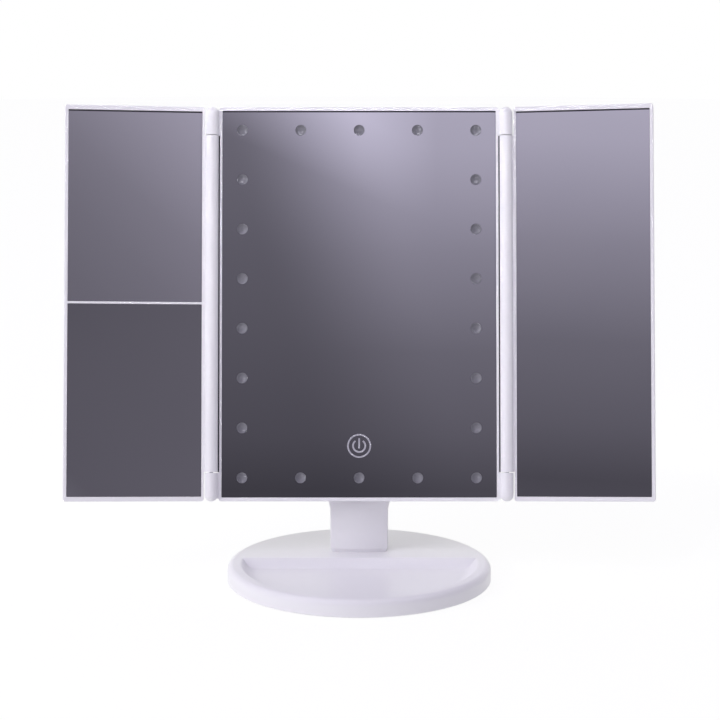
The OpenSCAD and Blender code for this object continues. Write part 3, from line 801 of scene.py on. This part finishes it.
def dished_glass_tree() -> bpy.types.NodeTree:
    """Builds the tree of a rectangular glass whose front is hollowed to a radius of curvature.

    The glass stands on its place's X axis, its front face at depth 0 in the corners.

    Returns:
        The tree, with the inputs Width, Height, Thickness, Curve and Material.
    """
    board = new_geometry_tree("dished_glass", [
        ("Width", NUMBER), ("Height", NUMBER), ("Thickness", NUMBER), ("Curve", NUMBER),
        ("Material", "NodeSocketMaterial")])
    given = board.add("NodeGroupInput")
    width, height, thickness, curve = (
        given.outputs[name] for name in ("Width", "Height", "Thickness", "Curve"))
    size = board.add("ShaderNodeCombineXYZ", {"X": width, "Y": thickness, "Z": height})
    block = board.add("GeometryNodeMeshCube", {
        "Size": size.outputs[0], "Vertices X": 49, "Vertices Y": 2, "Vertices Z": 65})
    spot = board.add("GeometryNodeInputPosition").outputs[0]
    place = board.add("ShaderNodeSeparateXYZ", {"Vector": spot})
    across, deep, up = place.outputs
    corner = board.maths("POWER", board.maths("MULTIPLY", width, 0.5), 2.0)
    corner = board.maths("ADD", corner, board.maths("POWER", board.maths("MULTIPLY", height, 0.5), 2.0))
    reach = board.maths("ADD", board.maths("MULTIPLY", across, across), board.maths("MULTIPLY", up, up))
    square = board.maths("MULTIPLY", curve, curve)
    here = board.maths("SQRT", board.maths("SUBTRACT", square, reach))
    there = board.maths("SQRT", board.maths("SUBTRACT", square, corner))
    depth = board.maths("SUBTRACT", here, there)
    front = board.add("FunctionNodeCompare", {0: deep, 1: 0.0}, data_type="FLOAT", operation="LESS_THAN")
    dish = board.add("GeometryNodeSetPosition", {
        "Geometry": block.outputs[0], "Selection": front.outputs[0],
        "Offset": board.add("ShaderNodeCombineXYZ", {"Y": depth}).outputs[0]})
    lift = board.add("ShaderNodeCombineXYZ", {
        "Y": board.maths("MULTIPLY", thickness, 0.5), "Z": board.maths("MULTIPLY", height, 0.5)})
    stood = board.add("GeometryNodeTransform", {
        "Geometry": dish.outputs[0], "Translation": lift.outputs[0]})
    real = board.add("GeometryNodeRealizeInstances", {"Geometry": stood.outputs[0]})
    dressed = board.add("GeometryNodeSetMaterial", {
        "Geometry": real.outputs[0], "Material": given.outputs["Material"]})
    board.add("NodeGroupOutput", {"Geometry": dressed.outputs[0]})
    return board.tree


@dataclass(frozen=True)
class Repeats:
    """Copies of one small part, made by the repeat tree."""

    workshop: Workshop
    tree: bpy.types.NodeTree

    def mesh(self, name: str, part: bpy.types.Mesh, points: Sequence[Vector], place: Matrix,
             finish: Finish) -> bpy.types.Mesh:
        """Sets a part on every point of a place.

        Args:
            name: The new mesh's name.
            part: The part, round its own origin.
            points: Where the part goes, in the place's coordinates.
            place: Transform from the place's coordinates to the model's.
            finish: The finish of the copies.

        Returns:
            One mesh with all copies, in the model's coordinates.
        """
        sample = placed(name + "_part", part)
        seed = bpy.data.meshes.new(name + "_points")
        seed.from_pydata([tuple(point) for point in points], [], [])
        mesh = grown(name, self.tree, seed, {
            "Part": sample, "Material": self.workshop.materials[finish]})
        bpy.data.objects.remove(sample)
        mesh.transform(place)
        return mesh


# ---- sub-assemblies ----


@dataclass(frozen=True)
class CrossScrew:
    """A pan-head screw with a cross recess, its head's top at depth 0 and its thread along -Y."""

    head: float = 4.3 * MM
    head_height: float = 1.2 * MM
    shank: float = 2.5 * MM
    length: float = 6 * MM
    recess_reach: float = 1.35 * MM
    recess_width: float = 0.5 * MM
    recess_depth: float = 0.7 * MM
    dome: float = 0.25 * MM
    rim_depth: float = 0.45 * MM
    chamfer: float = 0.1 * MM
    thread_pitch: float = 0.9 * MM
    thread_depth: float = 0.25 * MM
    plain_end: float = 1 * MM
    tip_height: float = 0.4 * MM
    tip_inset: float = 0.3 * MM

    def solid(self) -> bpy.types.Mesh:
        """Returns the turned form: domed head, seat and shank with a few thread turns."""
        radius, seat, end = self.head / 2, -self.head_height, -self.head_height - self.length
        crest, root = self.shank / 2, self.shank / 2 - self.thread_depth
        dome = [(radius * math.sin(math.radians(a)), -self.dome * (1 - math.cos(math.radians(a))))
                for a in (0, 25, 45, 60)]
        rim = [(radius, -self.rim_depth), (radius, seat + self.chamfer), (radius - self.chamfer, seat)]
        turns = [(root, seat)]
        depth, pitch = seat, self.thread_pitch
        while depth - pitch > end + self.plain_end:
            turns += [(root, depth - pitch * 0.5), (crest, depth - pitch * 0.75)]
            depth -= pitch
        tip = [(crest - self.tip_inset, end + self.tip_height), (0, end)]
        return turned("screw", dome + rim + turns + tip, 24)

    def mesh(self) -> bpy.types.Mesh:
        """Cuts the cross recess into the head.

        Returns:
            The finished screw's mesh.
        """
        body = placed("screw_body", self.solid())
        r, w = self.recess_reach, self.recess_width / 2
        cross = [(r, -w), (r, w), (w, w), (w, r), (-w, r), (-w, w), (-r, w), (-r, -w),
                 (-w, -w), (-w, -r), (w, -r), (w, -w)]
        cutter = placed("screw_recess", slab_of("recess", cross, -self.recess_depth, 1 * MM))
        cut = body.modifiers.new("recess", "BOOLEAN")
        cut.object = cutter
        cut.operation = "DIFFERENCE"
        cut.solver = "EXACT"
        mesh = taken(body, "cross_screw")
        bpy.data.objects.remove(cutter)
        smooth(mesh, CREASE_DEG)
        return mesh


@dataclass(frozen=True)
class TrayBase:
    """The round base with its tray, its weight, cover, pad and the neck that stands in it."""

    workshop: Workshop
    repeats: Repeats

    def dress(self) -> None:
        """Gives the base's and the neck's nodes their finishes."""
        self.workshop.dress(Finish.WHITE_GLOSS, "base_shell", "neck")
        self.workshop.dress(Finish.WHITE_INNER, "base_bottom_cover")
        self.workshop.dress(Finish.WEIGHT, "base_weight")
        self.workshop.dress(Finish.RUBBER, "non_slip_pad")
        self.workshop.dress(Finish.ACETAL, "tilt_bushes")
        self.workshop.dress(Finish.STEEL, "friction_washers")

    def screws(self) -> None:
        """Makes the screws under the base and the neck, head down."""
        head = CrossScrew().head
        low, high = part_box("base_screws")
        reach = (high.x - head / 2) / math.cos(math.pi / 4)
        ring = [Vector((x, y, 0)) for x, y in arc(reach, 45, 315, 3)]
        self.row("base_cross_screws", ring, low.z, high.z, "base_screws")
        low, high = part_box("neck_screws")
        side = high.x - head / 2
        pair = [Vector((x, (low.y + high.y) / 2, 0)) for x in (-side, side)]
        self.row("neck_cross_screws", pair, low.z, high.z, "neck_screws")

    def row(self, name: str, spots: Sequence[Vector], bottom: float, top: float, node: str) -> None:
        """Makes one set of upright screws.

        Args:
            name: The piece's name.
            spots: Where the screws stand, at height 0.
            bottom: Height of the heads' faces.
            top: Height of the tips.
            node: The node that the piece stands for.
        """
        screw = CrossScrew(length=top - bottom - CrossScrew().head_height).mesh()
        screw.transform(Matrix.Rotation(-math.pi / 2, 4, "X"))
        points = [spot + Vector((0, 0, bottom)) for spot in spots]
        mesh = self.repeats.mesh(name, screw, points, Matrix.Identity(4), Finish.STEEL)
        self.workshop.piece(name, mesh, Body.BASE, Slot.STEEL, Finish.STEEL, [node])


@dataclass(frozen=True)
class LightRing:
    """The ring of frosted lenses in the centre glass."""

    workshop: Workshop
    repeats: Repeats
    place: Place
    columns: int = 5
    rows: int = 8
    dish_depth: float = 1.7 * MM
    lip: float = 0.35 * MM
    chip_size: float = 3 * MM
    flange_reach: float = 0.6 * MM
    seat: float = 0.1 * MM

    def spots(self) -> list[Vector]:
        """Works out the lenses' centres from the light chips' box: the sides first, then the ends."""
        low, high = self.place.box("light_chips")
        chip = self.chip_size / 2
        left, right, foot, head = low.x + chip, high.x - chip, low.z + chip, high.z - chip
        rise, run = (head - foot) / (self.rows - 1), (right - left) / (self.columns - 1)
        sides = [Vector((x, 0, foot + i * rise)) for x in (left, right) for i in range(self.rows)]
        ends = [Vector((left + i * run, 0, z)) for z in (foot, head) for i in range(1, self.columns - 1)]
        return sides + ends

    def lens(self) -> bpy.types.Mesh:
        """Turns one lens: a rounded lip round a deep dish, and a flange behind the glass."""
        low, high = self.place.box("light_lenses")
        seat = self.place.box("centre_mirror")[1].y + self.seat
        flange = high.x - self.spots()[self.rows].x
        window = flange - self.flange_reach
        inner = window - self.lip
        ball = (inner * inner + self.dish_depth * self.dish_depth) / (2 * self.dish_depth)
        half = math.degrees(math.asin(inner / ball))
        centre = low.y + self.dish_depth - ball
        dish = [(ball * math.sin(math.radians(a)), centre + ball * math.cos(math.radians(a)))
                for a in (half * i / 10 for i in range(11))]
        lip = [(inner + self.lip * 0.3, low.y - 0.02 * MM), (window - self.lip * 0.3, low.y),
               (window, low.y + self.lip * 0.4)]
        back = [(window, seat), (flange, seat), (flange, high.y), (0, high.y)]
        return turned("lens", dish + lip + back, 40, crease_deg=50)

    def build(self) -> None:
        """Sets a lens in every window."""
        mesh = self.repeats.mesh(
            "frosted_lens_ring", self.lens(), self.spots(), self.place.matrix(), Finish.LENS)
        self.workshop.piece(
            "frosted_lens_ring", mesh, Body.PANEL, Slot.LENS, Finish.LENS, ["light_lenses"])


@dataclass(frozen=True)
class TouchMark:
    """The power mark on the centre glass: a ring round an open circle with a bar."""

    workshop: Workshop
    place: Place
    ring: float = 6.95 * MM
    line: float = 0.92 * MM
    circle: float = 4.05 * MM
    circle_line: float = 1.0 * MM
    opening_deg: float = 37
    bar_top: float = 4.4 * MM
    bar_foot: float = -1.5 * MM
    proud: float = 0.02 * MM

    def stroke(self, name: str, radius: float, line: float, start: float, end: float) -> bpy.types.Mesh:
        """Makes an arc-shaped stroke.

        Args:
            name: The mesh's name.
            radius: Its outer radius.
            line: Its width.
            start: Angle where it starts, in degrees.
            end: Angle where it ends.

        Returns:
            The stroke's mesh round the mark's centre.
        """
        outer, inner = arc(radius, start, end, 64), arc(radius - line, end, start, 64)
        return slab_of(name, outer + inner, -self.proud, self.proud / 4)

    def build(self) -> None:
        """Draws the mark on the glass, in front of the touch sensor."""
        half = self.circle_line / 2
        bar = [(-half, self.bar_foot), (half, self.bar_foot), (half, self.bar_top), (-half, self.bar_top)]
        strokes = [
            self.stroke("ring_right", self.ring, self.line, -90, 90),
            self.stroke("ring_left", self.ring, self.line, 90, 270),
            self.stroke("circle", self.circle, self.circle_line,
                        90 + self.opening_deg, 450 - self.opening_deg),
            slab_of("bar", bar, -self.proud, self.proud / 4),
        ]
        mesh = joined("power_touch_mark", strokes)
        low, high = self.place.box("touch_sensor")
        glass = self.place.box("centre_mirror")[0].y
        spot = Vector(((low.x + high.x) / 2, glass, (low.z + high.z) / 2))
        mesh.transform(self.place.matrix() @ Matrix.Translation(spot))
        self.workshop.piece("power_touch_mark", mesh, Body.PANEL, Slot.LENS, Finish.PRINT)


@dataclass(frozen=True)
class CentrePanel:
    """The lit centre panel with its electronics, battery box and hinges."""

    workshop: Workshop
    repeats: Repeats
    place: Place
    arrows: int = 3
    arrow_reach: float = 7 * MM
    arrow_rise: float = 4.5 * MM
    arrow_line: float = 2.2 * MM
    arrow_pitch: float = 6 * MM
    arrow_drop: float = 38 * MM
    arrow_proud: float = 0.6 * MM

    def dress(self) -> None:
        """Gives the panel's nodes their finishes."""
        dress = self.workshop.dress
        dress(Finish.WHITE_GLOSS, "centre_frame", "centre_back_shell", "battery_cover")
        dress(Finish.SILVER, "centre_mirror")
        dress(Finish.WHITE_INNER, "light_frame")
        dress(Finish.BOARD, "light_board", "touch_sensor", "control_board")
        dress(Finish.CHIP, "light_chips")
        dress(Finish.STEEL, "usb_socket", "battery_contacts", "tilt_shaft", "tilt_nut", "wing_hinge_pins")
        dress(Finish.JACKET, "battery_cells")

    def screws(self) -> None:
        """Makes the screws that hold the back shell, three down each side."""
        head = CrossScrew().head
        low, high = self.place.box("back_screws")
        side, depth = high.x - head / 2, high.y
        middle, reach = (low.z + high.z) / 2, (high.z - low.z - head) / 2
        points = [Vector((x, depth, middle + step * reach)) for x in (-side, side) for step in (-1, 0, 1)]
        screw = CrossScrew(length=depth - low.y - CrossScrew().head_height).mesh()
        mesh = self.repeats.mesh("back_cross_screws", screw, points, self.place.matrix(), Finish.STEEL)
        self.workshop.piece(
            "back_cross_screws", mesh, Body.PANEL, Slot.STEEL, Finish.STEEL, ["back_screws"])

    def chevrons(self) -> None:
        """Puts the raised arrows on the battery cover that show which way it slides."""
        high = self.place.box("battery_cover")[1]
        reach, rise, line, proud = self.arrow_reach, self.arrow_rise, self.arrow_line, self.arrow_proud
        outline = [(-reach, 0), (0, rise), (reach, 0), (reach, line), (0, rise + line), (-reach, line)]
        arrow = slab_of("chevron", outline, -proud, proud)
        points = [Vector((0, high.y - proud, high.z - self.arrow_drop - step * self.arrow_pitch))
                  for step in range(self.arrows)]
        mesh = self.repeats.mesh("cover_chevrons", arrow, points, self.place.matrix(), Finish.WHITE_GLOSS)
        self.workshop.piece("cover_chevrons", mesh, Body.COVER, Slot.WHITE, Finish.WHITE_GLOSS)


@dataclass(frozen=True)
class PaintedGapShade:
    """A dark strip of painted shade for the play above a mirror, which stands on the lower edge of its
    frame.
    """

    workshop: Workshop
    height: float = 0.8 * MM
    proud: float = 0.03 * MM
    depth: float = 0.3 * MM
    steps: int = 24

    def build(self, name: str, node: str, place: Place, body: Body, sag: float = 0.0) -> None:
        """Makes the strip of painted shade along a mirror's top edge.

        Args:
            name: The piece's name.
            node: The mirror's node.
            place: The place that the mirror lies in.
            body: The body that it rides on.
            sag: How much deeper the middle of the edge lies than its ends.
        """
        low, high = place.box(node)
        half, middle = (high.x - low.x) / 2, (low.x + high.x) / 2
        work = bmesh.new()
        shares = [2 * i / self.steps - 1 for i in range(self.steps + 1)]
        foot = high.z - self.height
        rows = [
            [work.verts.new((middle + share * half, low.y + sag * (1 - share * share) + shift, z))
             for share in shares]
            for z, shift in (
                (foot, -self.proud), (high.z, -self.proud), (high.z, self.depth), (foot, self.depth))
        ]
        for first, second in zip(rows, rows[1:] + rows[:1]):
            for i in range(self.steps):
                work.faces.new((first[i], first[i + 1], second[i + 1], second[i]))
        for i in (0, self.steps):
            work.faces.new([ring[i] for ring in rows])
        mesh = mesh_from(work, name)
        mesh.transform(place.matrix())
        self.workshop.piece(name, mesh, body, Slot.GLASS, Finish.PAINTED_SHADE)


@dataclass(frozen=True)
class HingeGapShade:
    """A thin dark strip on each side of the panel that closes the gap beside a wing's barrel: painted
    shade for that deep gap.
    """

    workshop: Workshop
    place: Place
    reach: float = 0.9 * MM
    thickness: float = 0.5 * MM
    depth: float = 2.1 * MM
    knuckle: float = 17 * MM
    root: float = 0.2 * MM

    def build(self) -> None:
        """Makes both strips of painted shade, between the hinge's end knuckles."""
        low, high = self.place.box("centre_frame")
        side = self.place.box("centre_back_shell")[1].x
        foot, top = low.z + self.knuckle, high.z - self.knuckle
        strips = []
        for turn in (-1, 1):
            left, right = sorted((turn * (side - self.root), turn * (side + self.reach)))
            outline = [(left, foot), (right, foot), (right, top), (left, top)]
            # Each dark strip is painted shade for the deep gap beside the barrel.
            strips.append(slab_of("lip", outline, self.depth, self.depth + self.thickness))
        mesh = joined("hinge_gap_lips", strips)
        mesh.transform(self.place.matrix())
        self.workshop.piece("hinge_gap_lips", mesh, Body.PANEL, Slot.WHITE, Finish.PAINTED_SHADE)


@dataclass(frozen=True)
class Wing:
    """A side panel on its barrel hinge, with a flat mirror or two magnifying ones."""

    workshop: Workshop
    side: int
    body: Body

    def dress(self) -> None:
        """Gives the wing's frame and back their finish."""
        name = self.body.value
        self.workshop.dress(Finish.WHITE_GLOSS, f"{name}_frame", f"{name}_back")

    def magnifier(self, tree: bpy.types.NodeTree, node: str, curve: float) -> None:
        """Makes a magnifying mirror with a true, smooth dish.

        Args:
            tree: The dished_glass tree.
            node: The node that the mirror stands for.
            curve: Radius of curvature.
        """
        place = wing_place(self.side)
        low, high = place.box(node)
        size = high - low
        seed = bpy.data.meshes.new(node + "_points")
        mesh = grown(node + "_dish", tree, seed, {
            "Width": size.x, "Height": size.z, "Thickness": size.y, "Curve": curve,
            "Material": self.workshop.materials[Finish.DISH_SILVER]})
        smooth(mesh, CREASE_DEG)
        spot = Vector(((low.x + high.x) / 2, low.y, low.z))
        mesh.transform(place.matrix() @ Matrix.Translation(spot))
        self.workshop.piece(node + "_dish", mesh, self.body, Slot.GLASS, Finish.DISH_SILVER, [node])


# ---- studio ----


def staged(name: str, work: bmesh.types.BMesh, material: bpy.types.Material) -> bpy.types.Object:
    """Adds a piece of the studio, which isn't part of the object.

    Args:
        name: The piece's name.
        work: Its working mesh, which is freed.
        material: Its material.

    Returns:
        The piece's object.
    """
    mesh = bpy.data.meshes.new(name)
    work.to_mesh(mesh)
    work.free()
    mesh.materials.append(material)
    piece = placed(name, mesh)
    return piece


@dataclass(frozen=True)
class Lamp:
    """A soft square lamp that no mirror shows."""

    name: str
    place: tuple[float, float, float]
    aim: tuple[float, float, float]
    size: float
    watts: float
    spread_deg: float = 180

    def build(self) -> None:
        """Adds the lamp, turned towards its aim."""
        data = bpy.data.lights.new(self.name, "AREA")
        data.shape, data.size, data.energy = "SQUARE", self.size, self.watts
        data.spread = math.radians(self.spread_deg)
        lamp = placed(self.name, data)
        lamp.location = self.place
        lamp.rotation_euler = (Vector(self.aim) - Vector(self.place)).to_track_quat("-Z", "Y").to_euler()
        lamp.visible_glossy = False


@dataclass(frozen=True)
class DimRoom:
    """The room in front: a half sphere that the mirrors show and that lights the object a little.

    Its brightness follows the direction from the object. Up and across are that direction's height and
    its reach to the right. A pale horizon fades into a dark wall that grows lighter towards the top. There
    is a soft light high on each side, stops of its own for the corner that the magnifying mirrors see and
    a lighter crest for the top of the centre glass.
    """

    radius: float = 8.0
    tone: Colour = (1.00, 0.95, 1.17)
    wall: Profile = (
        (0.0, 0.80), (0.06, 0.62), (0.19, 0.07), (0.227, 0.055), (0.255, 0.082), (0.34, 0.122),
        (0.414, 0.17), (1.0, 0.64))
    lights: Profile = (
        (0.227, 0.022), (0.297, 0.058), (0.347, 0.148), (0.397, 0.285), (0.5, 0.38), (1.0, 0.28))
    left_edge: Profile = ((-0.17, 1.0), (-0.10, 0.0))
    right_edge: Profile = ((0.04, 0.0), (0.127, 1.0))
    right_slant: float = 0.278
    corner: Profile = (
        (0.347, 0.06), (0.38, 0.043), (0.42, 0.029), (0.46, 0.30), (0.4720, 0.30), (0.4771, 0.185),
        (0.4812, 0.095), (0.486, 0.05), (0.49, 0.026))
    corner_edge: Profile = ((0.07, 0.0), (0.097, 1.0))
    crest: Profile = ((0.376, 0.0), (0.412, 0.17))
    crest_edge: Profile = ((0.0, 1.0), (0.04, 0.0))
    crest_slant: float = 0.4
    open_from: float = 0.5

    def brightness(self, board: Board) -> bpy.types.NodeSocket:
        """Works out the brightness in each direction.

        Args:
            board: The room's material.

        Returns:
            The brightness.
        """
        spot = board.add("ShaderNodeTexCoord").outputs["Object"]
        way = board.add("ShaderNodeVectorMath", {0: spot}, operation="NORMALIZE")
        across, _, up = board.add("ShaderNodeSeparateXYZ", {"Vector": way.outputs[0]}).outputs
        slant = board.maths("MULTIPLY_ADD", up, self.right_slant, across)
        right = board.range(slant, self.right_edge, smooth=True)
        left = board.range(across, self.left_edge, smooth=True)
        sides = board.maths("MULTIPLY", board.ramp(up, self.lights), board.maths("MAXIMUM", left, right))
        corner = board.ramp(board.maths("ADD", across, up), self.corner)
        far = board.range(across, self.corner_edge)
        glow = board.add("ShaderNodeMix", {0: far, 2: sides, 3: corner}).outputs[0]
        crest = board.range(board.maths("MULTIPLY_ADD", across, self.crest_slant, up), self.crest)
        crest = board.maths("MULTIPLY", crest, board.range(across, self.crest_edge))
        return board.maths("ADD", board.ramp(up, self.wall), board.maths("ADD", glow, crest))

    def build(self) -> None:
        """Hangs the room round the front, out of the camera's sight."""
        board = SurfaceBoard("dim_room")
        light = board.add("ShaderNodeEmission", {
            "Color": rgba(self.tone), "Strength": self.brightness(board)})
        work = bmesh.new()
        bmesh.ops.create_uvsphere(work, u_segments=64, v_segments=32, radius=self.radius)
        behind = [face for face in work.faces if face.calc_center_median().y > self.open_from]
        bmesh.ops.delete(work, geom=behind, context="FACES")
        room = staged("dim_room", work, board.close(light.outputs[0]))
        room.visible_camera = room.visible_shadow = False
        room.visible_transmission = room.visible_volume_scatter = False


@dataclass(frozen=True)
class Studio:
    """Camera, lamps, white background and pale floor."""

    camera_place: tuple[float, float, float] = (0.0005, -1.2272, 0.3656)
    pitch_deg: float = 10.86
    lens_mm: float = 109.5
    lamps: tuple[Lamp, ...] = (
        Lamp("key_lamp", (-1.6, -1.05, 0.85), (0, 0.02, 0.11), 1.0, 15.0),
        Lamp("panel_lamp", (-0.38, -0.80, 1.42), (0, 0.05, 0.28), 0.25, 0.085, spread_deg=13),
    )
    fill: float = 0.66
    floor_radius: float = 4.0
    paper: Colour = (0.72, 0.715, 0.73)
    glow: float = 1.10
    glow_share: Profile = ((0.0, 0.42), (1.0, 0.82))

    def camera(self) -> None:
        """Sets the camera where the photograph was taken from."""
        data = bpy.data.cameras.new("front_camera")
        data.lens, data.sensor_width = self.lens_mm, 36.0
        camera = placed("front_camera", data)
        camera.location = self.camera_place
        camera.rotation_euler = (math.radians(90 - self.pitch_deg), 0, 0)
        bpy.context.scene.camera = camera

    def world(self) -> None:
        """Makes a white background with a softer fill for everything that it lights."""
        world = bpy.data.worlds.new("white_room")
        world.use_nodes = True
        bpy.context.scene.world = world
        board = Board(world.node_tree)
        strength = board.range(board.seen(), ((0.0, self.fill), (1.0, 1.0)))
        light = board.add("ShaderNodeBackground", {"Color": (1, 1, 1, 1), "Strength": strength})
        board.add("ShaderNodeOutputWorld", {"Surface": light.outputs[0]})

    def floor(self) -> None:
        """Lays a pale floor that keeps a faint shadow."""
        board = SurfaceBoard("studio_floor")
        paper = board.add("ShaderNodeBsdfDiffuse", {"Color": rgba(self.paper)})
        glow = board.add("ShaderNodeEmission", {"Color": (1, 1, 1, 1), "Strength": self.glow})
        share = board.range(board.seen(), self.glow_share)
        mixed = board.add("ShaderNodeMixShader", {0: share, 1: paper.outputs[0], 2: glow.outputs[0]})
        work = bmesh.new()
        bmesh.ops.create_circle(work, cap_ends=True, radius=self.floor_radius, segments=64)
        staged("studio_floor", work, board.close(mixed.outputs[0]))

    def build(self) -> None:
        """Sets up the whole studio."""
        bpy.context.scene.view_settings.view_transform = "Standard"
        self.camera()
        self.world()
        self.floor()
        DimRoom().build()
        for lamp in self.lamps:
            lamp.build()


def edge_sag(curve: float) -> float:
    """Returns how deep the middle of a magnifying mirror's upper edge lies below its corners."""
    low, high = wing_place(-1).box("upper_magnifying_mirror")
    half = (high.x - low.x) / 2
    return half * half / (2 * curve)


def main() -> None:
    """Dresses the model and sets up the studio."""
    logging.basicConfig(level=logging.INFO, format="%(message)s")
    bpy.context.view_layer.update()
    Studio().build()
    workshop = Workshop()
    repeats = Repeats(workshop, repeat_tree())
    place = panel_place()
    base = TrayBase(workshop, repeats)
    base.dress()
    base.screws()
    centre = CentrePanel(workshop, repeats, place)
    centre.dress()
    centre.screws()
    centre.chevrons()
    LightRing(workshop, repeats, place).build()
    TouchMark(workshop, place).build()
    left, right = Wing(workshop, -1, Body.LEFT_WING), Wing(workshop, 1, Body.RIGHT_WING)
    dished = dished_glass_tree()
    left.dress()
    left.magnifier(dished, "upper_magnifying_mirror", UPPER_CURVE)
    left.magnifier(dished, "lower_magnifying_mirror", LOWER_CURVE)
    right.dress()
    workshop.dress(Finish.SILVER, "right_mirror")
    # Dark strips of painted shade along the top edges of the centre, right and upper dished mirrors.
    gap = PaintedGapShade(workshop)
    gap.build("centre_glass_gap", "centre_mirror", place, Body.PANEL)
    gap.build("right_glass_gap", "right_mirror", wing_place(1), Body.RIGHT_WING)
    sag = edge_sag(UPPER_CURVE)
    gap.build("upper_dish_gap", "upper_magnifying_mirror", wing_place(-1), Body.LEFT_WING, sag)
    # Dark strips of painted shade beside the hinge barrels.
    HingeGapShade(workshop, place).build()


if __name__ == "__main__":
    main()
